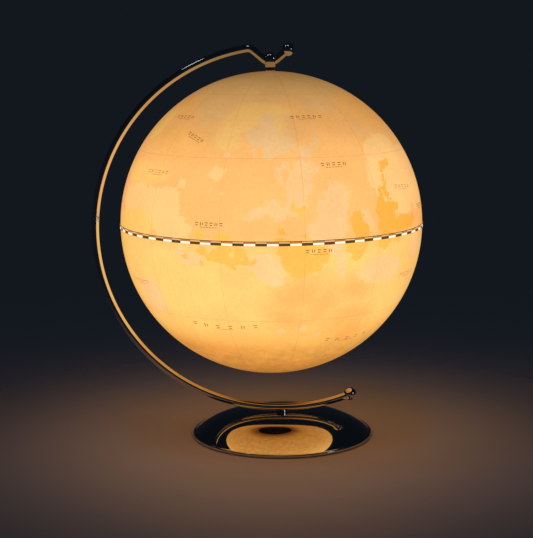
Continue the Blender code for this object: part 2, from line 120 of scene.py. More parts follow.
def add(tree, kind, inputs=None, **settings):
    """Add a node; a kind with no family in its name is a shader node."""
    node = tree.nodes.new(kind if "Node" in kind else "ShaderNode" + kind)
    for name, value in settings.items():
        setattr(node, name, value)
    for socket, value in (inputs or {}).items():
        if isinstance(value, bpy.types.Node):
            value = next(out for out in value.outputs if out.enabled)
        if isinstance(value, bpy.types.NodeSocket):
            tree.links.new(value, node.inputs[socket])
        else:
            node.inputs[socket].default_value = value
    return node


def new_material(name):
    """A material with an empty tree, the tree, and the place on the piece."""
    material = bpy.data.materials.new(name)
    material.use_nodes = True
    material.node_tree.nodes.clear()
    finishes.append(name)
    return material, material.node_tree, add(material.node_tree, "TexCoord").outputs["Object"]


def close_material(material, inputs):
    """End a material with its shader and give it back."""
    shader = add(material.node_tree, "BsdfPrincipled", inputs)
    add(material.node_tree, "OutputMaterial", {"Surface": shader})
    return material


finishes = []
print("Mid grey in linear light:", round(linear("808080")[0], 3))

# %% [markdown]
# ## Polished chrome plate
# Decorative chrome is a micron of chromium over bright nickel on buffed steel. It reflects
# about two thirds of the light, very slightly blue, and its base colour is that reflectance. A
# real plated part is never perfect: handling leaves a thin film that blurs the mirror in
# soft patches a few centimetres wide, and the buffed steel keeps a faint waviness. The film
# goes into the roughness and the waviness into a very low bump.

# %% Chrome
def chrome_plate():
    material, tree, place = new_material("chrome_plated_steel_polished")
    film = add(tree, "TexNoise", {"Vector": place, "Scale": 1 / (35 * MM), "Detail": 4.0})
    rough = add(tree, "MapRange", {"Value": film, "From Min": 0.35, "From Max": 0.75,
                                   "To Min": 0.025, "To Max": 0.075})
    wave = add(tree, "TexNoise", {"Vector": place, "Scale": 1 / (9 * MM), "Detail": 1.0})
    bump = add(tree, "Bump", {"Height": wave, "Strength": 0.05, "Distance": 0.05 * MM})
    return close_material(material, {"Base Color": linear("D9DADC"), "Metallic": 1.0,
                                     "Roughness": rough, "Normal": bump})


chrome = chrome_plate()
print("Made", chrome.name)

# %% [markdown]
# ## Plain metals
# The fasteners are zinc-plated steel, whose passivated zinc is satin with a fine crystal
# grain. The ballast is grey cast iron from a sand mould, dark and pitted. Both are one
# recipe: a colour that wanders with a noise at the grain's real size, and a gloss and a
# relief from the same noise. The lamp's small socket is drawn tin-plated steel, smoother
# than zinc. What one pattern gives a surface is a function, for the plastics need it too.

# %% Metals
def from_pattern(tree, pattern, first, second, strength, depth, gloss=None, invert=False):
    """Colour, relief and, if given, gloss from one pattern, as inputs of the shader."""
    tone = add(tree, "Mix", {"Factor": pattern, "A": linear(first), "B": linear(second)},
               data_type="RGBA")
    bump = add(tree, "Bump", {"Height": pattern, "Strength": strength, "Distance": depth},
               invert=invert)
    inputs = {"Base Color": tone, "Normal": bump}
    if gloss:
        inputs["Roughness"] = add(tree, "MapRange", {
            "Value": pattern, "From Min": 0.3, "From Max": 0.7, "To Min": gloss[0], "To Max": gloss[1]})
    return inputs


def grained_metal(name, dark, light, grain, roughness, depth):
    """A metal whose grain is this many metres wide and its relief this deep."""
    material, tree, place = new_material(name)
    noise = add(tree, "TexNoise", {"Vector": place, "Scale": 1 / grain, "Detail": 6.0})
    inputs = from_pattern(tree, noise, dark, light, 0.6, depth, (roughness - 0.08, roughness + 0.08))
    return close_material(material, {**inputs, "Metallic": 1.0})


zinc = grained_metal("zinc_plated_steel_passivated", "8E9196", "BFC2C6", 1.2 * MM, 0.34, 0.02 * MM)
iron = grained_metal("grey_iron_sand_cast", "2B2B2D", "4A494A", 1.6 * MM, 0.68, 0.25 * MM)
tin = grained_metal("tin_plated_steel_drawn", "A9ABAE", "CDCFD1", 0.8 * MM, 0.24, 0.01 * MM)
print("Made", finishes[-3:])

# %% [markdown]
# ## Plastics and foam
# Mould makers spark the inside of a mould so that the plastic comes out with a fine matt
# grain, which hides flow marks: that is the bump here, and it also breaks up the gloss.
# The same recipe serves ABS, acetal, wire insulation, shrink wrap and board varnish, with
# each one's own colour, grain size and gloss. Foam is the far end of it: no gloss, and
# cells half a millimetre wide, which a cell texture draws better than a noise.

# %% Plastics
def moulded(name, colour, shade, grain, roughness, depth, ior):
    """A plastic with a moulded grain; shade is the colour in the grain's hollows."""
    material, tree, place = new_material(name)
    noise = add(tree, "TexNoise", {"Vector": place, "Scale": 1 / grain, "Detail": 3.0})
    inputs = from_pattern(tree, noise, shade, colour, 0.4, depth, (roughness + 0.05, roughness - 0.05))
    return close_material(material, {**inputs, "IOR": ior})


black_abs = moulded("black_ABS_spark_grained", "1B1B1D", "0E0E10", 0.9 * MM, 0.46, 0.04 * MM, 1.54)
white_abs = moulded("white_ABS_moulded", "E8E6E0", "DCD9D1", 1.2 * MM, 0.38, 0.02 * MM, 1.54)
acetal = moulded("natural_acetal_turned", "E9E3D6", "DAD2C2", 0.7 * MM, 0.36, 0.02 * MM, 1.48)
wrap = moulded("PVC_shrink_wrap_blue", "2F5FA8", "274F8E", 4 * MM, 0.22, 0.02 * MM, 1.53)
red_wire = moulded("silicone_insulation_red", "A3201A", "8C1914", 0.6 * MM, 0.42, 0.01 * MM, 1.43)
black_wire = moulded("silicone_insulation_black", "202022", "161618", 0.6 * MM, 0.42, 0.01 * MM, 1.43)
print("Made", finishes[-6:])


# %% Foam
def foam_sheet():
    material, tree, place = new_material("EVA_foam_die_cut")
    cells = add(tree, "TexVoronoi", {"Vector": place, "Scale": 1 / (0.9 * MM)})
    inputs = from_pattern(tree, cells, "2C2C2F", "18181A", 0.7, 0.15 * MM, invert=True)
    return close_material(material, {**inputs, "Roughness": 0.88, "IOR": 1.48})


foam = foam_sheet()
print("Made", foam.name)

# %% [markdown]
# ## Circuit boards
# A board is glass cloth in epoxy under a varnish. Copper tracks show through the varnish as
# a lighter shade and stand up a little. A brick pattern with long bricks and thin joints
# gives lines that run and jog as tracks do. The lamp's own board is aluminium under white
# varnish, which throws the light back, so it takes the same pattern with other colours.

# %% Boards
def varnished_board(name, varnish, track, metallic):
    material, tree, place = new_material(name)
    lines = add(tree, "TexBrick", {
        "Vector": place, "Color1": (0, 0, 0, 1), "Color2": (0, 0, 0, 1), "Mortar": (1, 1, 1, 1),
        "Scale": 1.0, "Mortar Size": 0.25 * MM, "Mortar Smooth": 0.2, "Brick Width": 9 * MM,
        "Row Height": 1.8 * MM}, offset=0.37)
    inputs = from_pattern(tree, lines.outputs["Fac"], varnish, track, 0.5, 0.05 * MM)
    return close_material(material, {**inputs, "Metallic": metallic, "Roughness": 0.32})


green_board = varnished_board("glass_epoxy_board_green_varnish", "0F5A2B", "2E7F45", 0.0)
white_board = varnished_board("aluminium_board_white_varnish", "E6E7E6", "CFD2D2", 0.1)
print("Made", finishes[-2:])

# %% [markdown]
# ## Glowing pieces of the lamp
# An LED is a blue chip under yellow phosphor, and the dome over the LEDs is opal
# polycarbonate, whose fine filler scatters the light so evenly that it looks lit
# throughout. Both glow on their own surface, which costs the renderer nothing, and a little
# noise in the glow stands for the filler.

# %% Lamp finishes
def glowing(name, colour, glow, strength, grain):
    material, tree, place = new_material(name)
    noise = add(tree, "TexNoise", {"Vector": place, "Scale": 1 / grain, "Detail": 2.0})
    light = add(tree, "Mix", {"Factor": noise, "A": linear(glow, 0.85), "B": linear(glow)},
                data_type="RGBA")
    return close_material(material, {"Base Color": linear(colour), "Roughness": 0.42, "IOR": 1.58,
                                     "Emission Color": light, "Emission Strength": strength})


phosphor = glowing("LED_phosphor_cast", "F2C94B", "FFE2A0", 3.0, 0.8 * MM)
opal = glowing("opal_polycarbonate_moulded", "F3EFE4", "FFDFA6", 1.6, 3 * MM)
print("Made", finishes[-2:])

# %% [markdown]
# ## How the lamp lights the shell
# The lamp sits a little below the middle of the globe and throws its light up and out. The
# shell is brightest in a wide belt about the equator. Towards the top it is further from
# the lamp, and below, the housing shades it, so the light fades and turns redder near the
# south pole, where it only arrives after several bounces. That fading belongs to the
# shell, so it is a ramp over the height, with the share of red, green and blue at each
# level, and everything printed on the globe goes through it.

# %% The lamp's light by height
LIGHT_BY_HEIGHT = [
    (-0.999, (0.02, 0.01, 0.004)), (-0.990, (0.05, 0.025, 0.01)), (-0.982, (0.16, 0.085, 0.04)),
    (-0.970, (0.38, 0.24, 0.12)), (-0.950, (0.50, 0.33, 0.17)), (-0.914, (0.55, 0.39, 0.25)),
    (-0.866, (0.60, 0.43, 0.28)), (-0.819, (0.67, 0.50, 0.32)), (-0.766, (0.72, 0.58, 0.40)),
    (-0.707, (0.81, 0.68, 0.49)), (-0.643, (0.90, 0.81, 0.64)), (-0.56, (0.99, 0.94, 0.86)),
    (-0.42, (1.0, 1.0, 1.0)), (0.30, (0.99, 0.985, 0.995)), (0.45, (0.95, 0.945, 0.96)),
    (0.574, (0.82, 0.84, 0.84)), (0.643, (0.73, 0.74, 0.75)), (0.707, (0.68, 0.67, 0.69)),
    (0.766, (0.625, 0.64, 0.65)), (0.819, (0.59, 0.57, 0.60)), (0.866, (0.535, 0.526, 0.50)),
    (0.906, (0.47, 0.475, 0.45)), (0.94, (0.42, 0.41, 0.40)), (0.966, (0.35, 0.355, 0.34)),
    (1.0, (0.31, 0.315, 0.29)),
]


def lit_by_lamp(tree, colour):
    """The colour of a print on the shell, times the lamp's light at that height."""
    place = add(tree, "TexCoord").outputs["Object"]
    level = add(tree, "MapRange", {
        "Value": add(tree, "SeparateXYZ", {"Vector": place}).outputs["Z"],
        "From Min": GLOBE.z - GLOBE_R, "From Max": GLOBE.z + GLOBE_R})
    ramp = add(tree, "ValToRGB", {"Fac": level})
    stops = ramp.color_ramp.elements
    for share, light in LIGHT_BY_HEIGHT[1:-1]:
        stops.new((share + 1) / 2).color = (*light, 1.0)
    for end, place_on_ramp in ((0, 0.0), (-1, 1.0)):
        stops[end].position, stops[end].color = place_on_ramp, (*LIGHT_BY_HEIGHT[end][1], 1.0)
    return add(tree, "Mix", {"Factor": 1.0, "A": colour, "B": ramp}, data_type="RGBA",
               blend_type="MULTIPLY")


print(len(LIGHT_BY_HEIGHT), "levels of light, from pole to pole")

# %% [markdown]
# ## The map's tints
# A relief map prints each kind of ground in its own flat tint, and lit from behind they run
# from peach through cream to deep orange. Each tint here is an ink with a colour, and a
# list of patches: longitude and latitude of the middle, half width and half height, and
# tilt where there is one, all in degrees. Longitude 0 faces the front. A patch marked as a
# hole takes its ink away again. The back is not planned patch by patch: seeded random
# groups of patches in the same inks carry the map on.

# %% Patches of ink
INKS = {     # colour, and how far its edge fades, in mm
    "sea": ("FED384", 14), "olive": ("FED785", 9), "rosy": ("FEBE71", 24), "khaki": ("F4C685", 16),
    "warm": ("FEC374", 16), "moss": ("FDCF7F", 6), "beige": ("F3CB93", 1.2), "yellow": ("FFD291", 1.2),
    "lilac": ("FFD299", 1.5), "gold": ("FFD07B", 5), "amber": ("FEC461", 1), "orange": ("FEB952", 1),
}
PAPER = "FEC47D"
PATCHES = {
    "sea": [(0, -41, 900, 40.5)],
    "olive": [(-46, -7, 7, 4), (-53, -13, 4, 3), (-40, -17, 13, 8.5), (-27, -17, 10, 8),
              (-40, -27, 7, 3.5), (-15, -18, 5, 2), (-34, -33, 5, 4), (52, -26, 4, 8)],
    "rosy": [(10, -19, 10, 7, 20), (6, -28, 8, 6, -30), (19, -24, 8, 6, 40), (31, -30, 9, 6, 10),
             (37, -36, 6, 5), (33, -18, 6, 5), (-52, -47, 20, 3)],
    "khaki": [(0, 66, 62, 14), (-40, 54, 13, 6, -20), (-30, 46, 6, 8, -20), (7, 46, 2, 9),
              (30, 55, 14, 6), (48, 43, 3, 6)],
    "warm": [(-46, 37, 17, 7, -8), (66, 50, 16, 9), (13.5, 53, 3, 4), (17.5, 49, 4, 3),
             (32, 46, 5, 3.5), (-62, 50, 9, 8), (-18, 42.5, 6, 1.5)],
    "moss": [(-8, 51.5, 7.5, 4), (-12, 47, 9, 4.5), (-18.5, 43, 6, 4), (-19.5, 37.5, 4.5, 5),
             (1, 51, 6, 3.6), (3.4, 46, 2, 5), (-62, 22.5, 16, 4.5)],
    "beige": [(-2.6, 44.5, 3, 5.2), (-3.2, 38.6, 6, 4.6), (3, 35.2, 6, 4.4, -10),
              (0.5, 31.8, 4, 1.6), (-6.6, 33, 1.1, 3), (13.6, 32.6, 3, 1.9),
              (19.8, 37.8, 0.8, 3.2, -15), (13, 26.4, 4.6, 3), (10.6, 21, 4.6, 5),
              (9, 15.6, 4.3, 4.6), (3, 23.6, 1, 2), (6, 27.2, 1.2, 1.4), (7.5, 10.8, 3.6, 2.2),
              (-5, 10.2, 4, 2.1, 18), (-9, 8.6, 1.4, 1.6), (0.4, 12.2, 2.8, 2.6, 30),
              (3.5, 9.3, 2.6, 1.7), (24, 17.4, 4.6, 3.5), (22.3, 11.2, 6.6, 5),
              (19.6, 4.4, 8.4, 4.6), (36, 7.6, 1.9, 3.2), (37.6, 4.4, 2.6, 3), (34.3, 9.6, 1, 1.5)],
    "yellow": [(-52, 10.5, 14, 7.5), (-40.5, 12, 5.4, 6.4), (-38.5, 4.2, 8.2, 5),
               (-36.3, 20.2, 1.4, 2.2), (-62, 13, 14, 6), (-21, 24.4, 2.9, 3.3),
               (-18.1, 31, 1.7, 1), (-18, 17, 1.4, 1.2), (46.8, 22.4, 6.8, 10),
               (54, 30, 12, 7.6, 20), (60, 19, 14, 9), (48.5, 14.4, 5, 4), (58, 9.6, 8, 3),
               (72, 20, 12, 13)],
    "lilac": [(-1, -9.2, 6, 5), (-6, -6.8, 3.8, 3), (2, -13.6, 2.3, 1.9), (-29, -6.2, 5, 2.2),
              (-35, -4, 3, 1.8), (22.2, -2.6, 2.8, 3.2), (24.6, -5.6, 2.4, 2.4),
              (25.4, -9.6, 1.4, 3.4), (-1, -4.6, 3, 1.6), (3.2, -34.6, 1.7, 1.3),
              (13.4, -34.4, 1.6, 1.2), (67, -5.5, 6, 4.6), (-55, -23, 7, 8), (44, -12, 11, 5),
              (20.2, -37.6, 1, 2)],
    "gold": [(-60, 4, 9, 5.4), (-52.5, 3.6, 5, 3.4), (-70, 3, 5, 4), (-59.4, 8.4, 2, 1.6),
             (-76, -16, 8, 22), (-72, 44, 6, 8)],
    "amber": [(-26.4, 1.6, 1.8, 1.7), (-16.6, 1.6, 3.2, 1.4), (-25.2, -2.8, 2.6, 2),
              (-21.4, -4.6, 4.8, 2.2, -12), (-15.2, -4, 5.8, 3), (-12, -6.6, 4.2, 1.3),
              (-16.6, -7, 1.8, 0.9), (-31.7, -5.4, 0.8, 0.7), (-24.4, -7.6, 1, 0.8),
              (9, -1.8, 9.4, 2.8), (8, -7, 4.7, 4.4), (8.8, -10.6, 3.2, 1.8), (14, -7.8, 4.4, 3),
              (17.6, -5, 3.2, 4), (4.4, -8.6, 1.3, 0.9), (32, -2.8, 4.8, 2.8), (30.4, -5.8, 2.3, 2),
              (44.6, -1.8, 4, 2), (52, -1.4, 3, 1), (7.9, 13.4, 0.7, 2.3), (9.4, 11, 0.8, 1.4),
              (11.2, 14.2, 0.4, 1.8), (3.6, -4.4, 0.8, 1.1)],
    "orange": [(50, 25.4, 2.5, 1.3, 28), (48.4, 23.6, 1.8, 1.7), (48.2, 20.2, 0.6, 2.1, -12),
               (45, 16.6, 1.8, 1), (44.6, 14, 1.9, 2), (47.6, 13.6, 1.7, 1.8), (44.6, 8.6, 3.6, 5),
               (50, 8.4, 3.8, 4.2), (46.4, 4, 5.5, 4.4), (53, 4.4, 6.8, 3), (59.4, 4, 5.6, 2.5),
               (63.6, 5, 2, 2), (31.6, 8, 2.6, 2.8), (32, 4.4, 3.4, 3.6), (35, 2.8, 2.4, 2.4),
               (29.4, 7, 0.9, 1.4), (3.7, 4, 0.8, 1.1), (7.6, 9, 1, 0.7), (3, 1.6, 1.4, 0.7),
               (11, 3, 1.4, 0.9)],
}
HOLES = {
    "amber": [(-22.9, -4, 0.7, 0.6), (-14.7, -3.9, 0.8, 0.8)],
    "orange": [(51.2, 8, 3, 1.1, -24), (57.6, 8.6, 4.6, 1.6, -8)],
}

BACK_GROUPS = 70
PATCHES_IN_GROUP = 5
BROAD = ("khaki", "warm", "moss", "olive", "rosy")
draw = random.Random(11)
for _ in range(BACK_GROUPS):
    ink = draw.choice([ink for ink in INKS if ink != "sea"])
    size = draw.uniform(4, 11) if ink in BROAD else draw.uniform(1, 5)
    lon, lat = draw.uniform(90, 270), math.degrees(math.asin(draw.uniform(-0.8, 0.85)))
    for _ in range(PATCHES_IN_GROUP):
        middle = (lon + draw.gauss(0, 0.9 * size), lat + draw.gauss(0, 0.6 * size))
        width = size * draw.uniform(0.5, 1.1)
        PATCHES[ink].append((*middle, width, width * draw.uniform(0.4, 1.0), draw.uniform(-50, 50)))
print(sum(len(p) for p in PATCHES.values()), "patches in", len(INKS), "inks")

# %% [markdown]
# ## Printed PVC, lit from inside
# The mesh carries one number for each ink: how many millimetres a point lies inside the
# nearest patch of it, below zero when it lies outside. A number like that varies gently,
# so the mesh can carry it well, and the shader adds a few millimetres of noise before it
# asks whether the point is inside. That is how coastlines get their ragged edge, far finer
# than the mesh. Thin graticule lines come from the longitude and latitude. Over it all lies
# a satin varnish, a coat whose slight amber tint deepens where one looks along the surface.

# %% Places and lines on the globe
def around_axis(tree, place):
    """Longitude and latitude of a place on the globe, in degrees."""
    middle = add(tree, "VectorMath", {0: place, 1: GLOBE}, operation="SUBTRACT")
    part = add(tree, "SeparateXYZ", {"Vector": middle}).outputs
    front = add(tree, "Math", {0: part["Y"], 1: -1.0}, operation="MULTIPLY")
    turn = add(tree, "Math", {0: part["X"], 1: front}, operation="ARCTAN2")
    share = add(tree, "Math", {0: part["Z"], 1: GLOBE_R}, operation="DIVIDE")
    rise = add(tree, "Math", {0: share}, operation="ARCSINE")
    return [add(tree, "Math", {0: angle}, operation="DEGREES") for angle in (turn, rise)]


LINE_HALF_WIDTH = math.degrees(0.28 * MM / GLOBE_R)
LINE_STEP = 30
FIRST_MERIDIAN = -18.5
LINE_STRENGTH = 0.20


def grid_lines(tree, angle, start, squeeze=1.0):
    """1 on thin lines every 30 degrees; squeeze is how much narrower a step is up there."""
    moved = add(tree, "Math", {0: angle, 1: start}, operation="SUBTRACT")
    off = add(tree, "Math", {0: moved, 1: LINE_STEP / 2}, operation="PINGPONG")
    real = add(tree, "Math", {0: off, 1: squeeze}, operation="MULTIPLY")
    return add(tree, "MapRange", {"Value": real, "From Min": LINE_HALF_WIDTH,
                                  "From Max": 1.6 * LINE_HALF_WIDTH, "To Min": 1.0, "To Max": 0.0})


print("A graticule line is", round(2 * math.radians(LINE_HALF_WIDTH) * GLOBE_R / MM, 2), "mm wide")


# %% The shell's material
COAST_STRAY = 11.0          # mm that a coast wanders to each side


def printed_shell():
    material, tree, place = new_material("translucent_PVC_printed_map")
    ragged = add(tree, "TexNoise", {"Vector": place, "Scale": 1 / (13 * MM), "Detail": 7.0,
                                    "Roughness": 0.62})
    stray = add(tree, "MapRange", {"Value": ragged, "To Min": -COAST_STRAY, "To Max": COAST_STRAY},
                clamp=False)
    colour = linear(PAPER)
    for ink, (code, fade) in INKS.items():
        depth = add(tree, "Attribute", attribute_name=f"{ink}_depth").outputs["Fac"]
        edge = add(tree, "Math", {0: depth, 1: stray}, operation="ADD")
        cover = add(tree, "MapRange", {"Value": edge, "From Min": -0.5 * fade, "From Max": 0.5 * fade})
        colour = add(tree, "Mix", {"Factor": cover, "A": colour, "B": linear(code)}, data_type="RGBA")

    cloud = add(tree, "TexNoise", {"Vector": place, "Scale": 1 / (28 * MM), "Detail": 5.0})
    speck = add(tree, "TexNoise", {"Vector": place, "Scale": 1 / (3.2 * MM), "Detail": 2.0})
    both = add(tree, "Math", {0: cloud, 1: speck}, operation="ADD")
    even = add(tree, "MapRange", {"Value": both, "From Min": 0.7, "From Max": 1.3, "To Min": 0.93,
                                  "To Max": 1.05})
    tint = add(tree, "VectorMath", {0: colour, "Scale": even}, operation="SCALE")

    lon, lat = around_axis(tree, place)
    ice = add(tree, "TexNoise", {"Vector": place, "Scale": 1 / (9 * MM), "Detail": 6.0,
                                 "Roughness": 0.7})
    rough_ice = add(tree, "MapRange", {"Value": ice, "From Min": 0.38, "From Max": 0.62,
                                       "To Min": 0.84, "To Max": 1.1})
    south = add(tree, "MapRange", {"Value": lat, "From Min": -40.0, "From Max": -52.0})
    relief = add(tree, "Mix", {"Factor": south, "A": 1.0, "B": rough_ice}, data_type="FLOAT")
    tint = add(tree, "VectorMath", {0: tint, "Scale": relief}, operation="SCALE")

    turn = add(tree, "Math", {0: lat}, operation="RADIANS")
    narrow = add(tree, "Math", {0: turn}, operation="COSINE")
    grid = add(tree, "Math", {0: grid_lines(tree, lat, 0.0),
                              1: grid_lines(tree, lon, FIRST_MERIDIAN, narrow)}, operation="MAXIMUM")
    faint = add(tree, "Math", {0: grid, 1: LINE_STRENGTH}, operation="MULTIPLY")
    drawn = add(tree, "Mix", {"Factor": faint, "A": tint, "B": linear("A8632B")}, data_type="RGBA")
    unlit = add(tree, "Mix", {"Factor": 1.0, "A": drawn, "B": (0.35, 0.35, 0.35, 1.0)},
                data_type="RGBA", blend_type="MULTIPLY")

    grain = add(tree, "TexNoise", {"Vector": place, "Scale": 1 / (1.1 * MM), "Detail": 1.0})
    bump = add(tree, "Bump", {"Height": grain, "Strength": 0.15, "Distance": 0.03 * MM})
    return close_material(material, {
        "Base Color": unlit, "Roughness": 0.5, "IOR": 1.53, "Normal": bump,
        "Coat Weight": 0.9, "Coat Roughness": 0.33, "Coat IOR": 1.5, "Coat Tint": linear("FDEED9"),
        "Emission Color": lit_by_lamp(tree, drawn), "Emission Strength": 1.23})


shell_finish = printed_shell()
print("Made", shell_finish.name, "with", len(shell_finish.node_tree.nodes), "nodes")

# %% [markdown]
# ## Inks of the scale tape and the labels
# The tape at the seam and the names on a map are printed in opaque ink, so the lamp barely
# shines through them. Their colour is a print too, lit by the same ramp as the shell. White
# parts of the tape are bare film, the brightest thing on the globe. The lesson replaces all
# names by rows of small bars.

# %% Inks
def printed_ink(name, code, glow, strength=1.0):
    material, tree, place = new_material(name)
    blotch = add(tree, "TexNoise", {"Vector": place, "Scale": 1 / (2.2 * MM), "Detail": 3.0})
    uneven = add(tree, "Mix", {"Factor": blotch, "A": linear(glow, 0.8), "B": linear(glow)},
                 data_type="RGBA")
    return close_material(material, {
        "Base Color": linear(code), "Roughness": 0.45, "IOR": 1.5,
        "Emission Color": lit_by_lamp(tree, uneven), "Emission Strength": strength})


tape_dark = printed_ink("tape_ink_dark_brown", "140A05", "2A1405")
tape_brown = printed_ink("tape_ink_brown", "2A1A0A", "66461A")
tape_white = printed_ink("tape_bare_film_white", "8C8268", "FFF6D6", 1.2)
tape_peach = printed_ink("tape_ink_peach", "7A5534", "FBC588")
tape_amber = printed_ink("tape_ink_amber", "6B3A18", "D98A45")
label_brown = printed_ink("label_ink_brown", "4A2E1A", "B07A48")
label_red = printed_ink("label_ink_red", "6B2A1A", "E8935C")
print("Made", finishes[-7:])

# %% [markdown]
# ## Shapes by turning
# Nearly everything on this object was turned or spun, so the main tool here is a lathe: an
# outline of radii and heights is carried round the Z axis. A closed outline gives a ring,
# and one that begins and ends on the axis gives a solid. Round corners are arcs in the
# outline. Edges sharper than 35 degrees are marked, so that the shading breaks there. Every
# finished object stays at the origin, with its place in its mesh.

# %% The lathe
def arc(centre, radius, start, end, steps):
    """Points of an arc in an outline; 0 degrees points outwards and 90 up."""
    angles = [math.radians(start + (end - start) * i / steps) for i in range(steps + 1)]
    return [(centre[0] + radius * math.cos(a), centre[1] + radius * math.sin(a)) for a in angles]


ON_AXIS = 1e-7              # an arc that should end at a radius of 0 ends this close to it


def turned(outline, turns):
    """Revolve an outline about Z and return the mesh as a bmesh."""
    bm = bmesh.new()
    angles = [2 * math.pi * i / turns for i in range(turns)]
    spokes = [(math.sin(a), -math.cos(a)) for a in angles]
    rings = []
    for radius, height in outline:
        if radius < ON_AXIS:
            rings.append([bm.verts.new((0, 0, height))])
        else:
            rings.append([bm.verts.new((radius * x, radius * y, height)) for x, y in spokes])
    if len(rings[0]) > 1:
        rings.append(rings[0])
    for first, second in zip(rings, rings[1:]):
        for i in range(turns):
            after = (i + 1) % turns
            corners = [first[i % len(first)], second[i % len(second)]]
            if len(second) > 1:
                corners.append(second[after])
            if len(first) > 1:
                corners.append(first[after])
            bm.faces.new(corners)
    bmesh.ops.recalc_face_normals(bm, faces=bm.faces)
    return bm


print("A quarter arc in six steps has", len(arc((0, 0), 1, 0, 90, 6)), "points")

# %% Objects and places
SHARP = math.radians(35)
AT_BASE = Matrix.Identity(4)
AT_GLOBE = Matrix.Translation(GLOBE)


def in_scene(name, data):
    thing = bpy.data.objects.new(name, data)
    bpy.context.scene.collection.objects.link(thing)
    return thing


def as_object(name, bm, finish, place=AT_BASE):
    """Move a bmesh to its place in the frame and make it an object that stays at the origin."""
    bmesh.ops.transform(bm, matrix=place, verts=bm.verts)
    mesh = bpy.data.meshes.new(name)
    bm.to_mesh(mesh)
    bm.free()
    mesh.shade_smooth()
    mesh.set_sharp_from_angle(angle=SHARP)
    mesh.materials.append(finish)
    return in_scene(name, mesh)


def bake(thing):
    """Keep what a piece's modifiers make as its plain mesh."""
    seen = thing.evaluated_get(bpy.context.evaluated_depsgraph_get())
    mesh = bpy.data.meshes.new_from_object(seen)
    thing.modifiers.clear()
    thing.data = mesh
    return thing


def carve(thing, *cutters):
    """Cut the cutters out of a piece."""
    for cutter in cutters:
        cut = thing.modifiers.new(cutter.name, "BOOLEAN")
        cut.operation, cut.solver, cut.object = "DIFFERENCE", "EXACT", cutter
    bake(thing).data.set_sharp_from_angle(angle=SHARP)
    for cutter in cutters:
        bpy.data.objects.remove(cutter, do_unlink=True)
    return thing


def place_piece(thing, body, slot, *nodes):
    """Tell the frame which body a piece rides on and hide the CAD nodes it stands for; slot is not
    used.
    """
    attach(thing, body)
    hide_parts(*nodes)
    print(f"{thing.name}: {len(thing.data.vertices)} points, rides on {body}")


def turn_piece(name, outline, turns, finish, body, slot, *nodes, at=AT_GLOBE, cutters=()):
    """Turn a piece, carve it and place it."""
    piece = as_object(name, turned(outline, turns), finish, at)
    place_piece(carve(piece, *cutters) if cutters else piece, body, slot, *nodes)
    return piece


print("Edges sharper than", round(math.degrees(SHARP)), "degrees are marked")

# %% [markdown]
# ## The globe's two shells
# Each half is blown or pressed from one sheet, 1.8 mm thick, with a hole at its pole. The
# outline runs down the outside from the hole to the seam and back up the inside. At the
# seam the edge is broken by a small round, as a trimmed edge is. The ink numbers are worked
# out for all points at once: a point's distance from a patch's middle is measured along
# the surface, in the patch's own tilted frame.

# %% Ink numbers for a mesh
MM_PER_DEGREE = math.radians(1) * GLOBE_R / MM
FARTHEST = 40.0


def depth_in(patch, lon, lat):
    """How many millimetres points lie inside a patch, below zero outside it."""
    middle_lon, middle_lat, half_width, half_height, tilt = (*patch, 0)[:5]
    east = (np.mod(lon - middle_lon + 180, 360) - 180) * np.cos(np.radians((lat + middle_lat) / 2))
    north = lat - middle_lat
    c, s = math.cos(math.radians(tilt)), math.sin(math.radians(tilt))
    along = (east * c + north * s) / half_width
    across = (north * c - east * s) / half_height
    return (1 - np.hypot(along, across)) * min(half_width, half_height) * MM_PER_DEGREE


def ink_numbers(mesh):
    """Give a mesh one number for each ink."""
    spots = np.array([v.co for v in mesh.vertices]) - np.array(GLOBE)
    lon = np.degrees(np.arctan2(spots[:, 0], -spots[:, 1]))
    lat = np.degrees(np.arcsin(np.clip(spots[:, 2] / np.linalg.norm(spots, axis=1), -1, 1)))
    for ink in INKS:
        depth = np.max([depth_in(p, lon, lat) for p in PATCHES[ink]], axis=0)
        for hole in HOLES.get(ink, []):
            depth = np.minimum(depth, -depth_in(hole, lon, lat))
        values = mesh.attributes.new(f"{ink}_depth", "FLOAT", "POINT")
        values.data.foreach_set("value", np.clip(depth, -FARTHEST, FARTHEST).astype(np.float32))


print("One degree on the globe is", round(MM_PER_DEGREE, 2), "mm")

# %% The shells
SHELL_TURNS = 288
SHELL_RINGS = 72
SEAM = GAP / 2
EDGE_ROUND = 0.25 * MM


def shell_outline(hole_r, side):
    """One half shell, from the hole at its pole down the outside and back up the inside."""
    inner_r = GLOBE_R - SHELL_WALL
    outside, inside = [], []
    for i in range(SHELL_RINGS + 1):
        share = i / SHELL_RINGS
        for radius, line in ((GLOBE_R, outside), (inner_r, inside)):
            start, end = math.asin(hole_r / radius), math.acos((SEAM + EDGE_ROUND) / radius)
            angle = start + (end - start) * share
            line.append((radius * math.sin(angle), radius * math.cos(angle)))
    edge = [(GLOBE_R - EDGE_ROUND, SEAM), (inner_r + EDGE_ROUND, SEAM)]
    return [(r, side * z) for r, z in outside + edge + inside[::-1]]


for name, node, hole_r, side in (("globe_upper_half", "upper_shell", POLE_HOLE_R, 1),
                                 ("globe_lower_half", "lower_shell", LAMP_HOLE_R, -1)):
    half = turn_piece(name, shell_outline(hole_r, side), SHELL_TURNS, shell_finish, "globe",
                      "globe_shell", node)
    ink_numbers(half.data)

# %% [markdown]
# ## Geometry trees
# What repeats round the globe or follows a path is made by Geometry Nodes. One function
# makes a tree with named inputs, and one runs it: it sets the inputs by their identifiers,
# evaluates once, and keeps the result as a plain mesh.

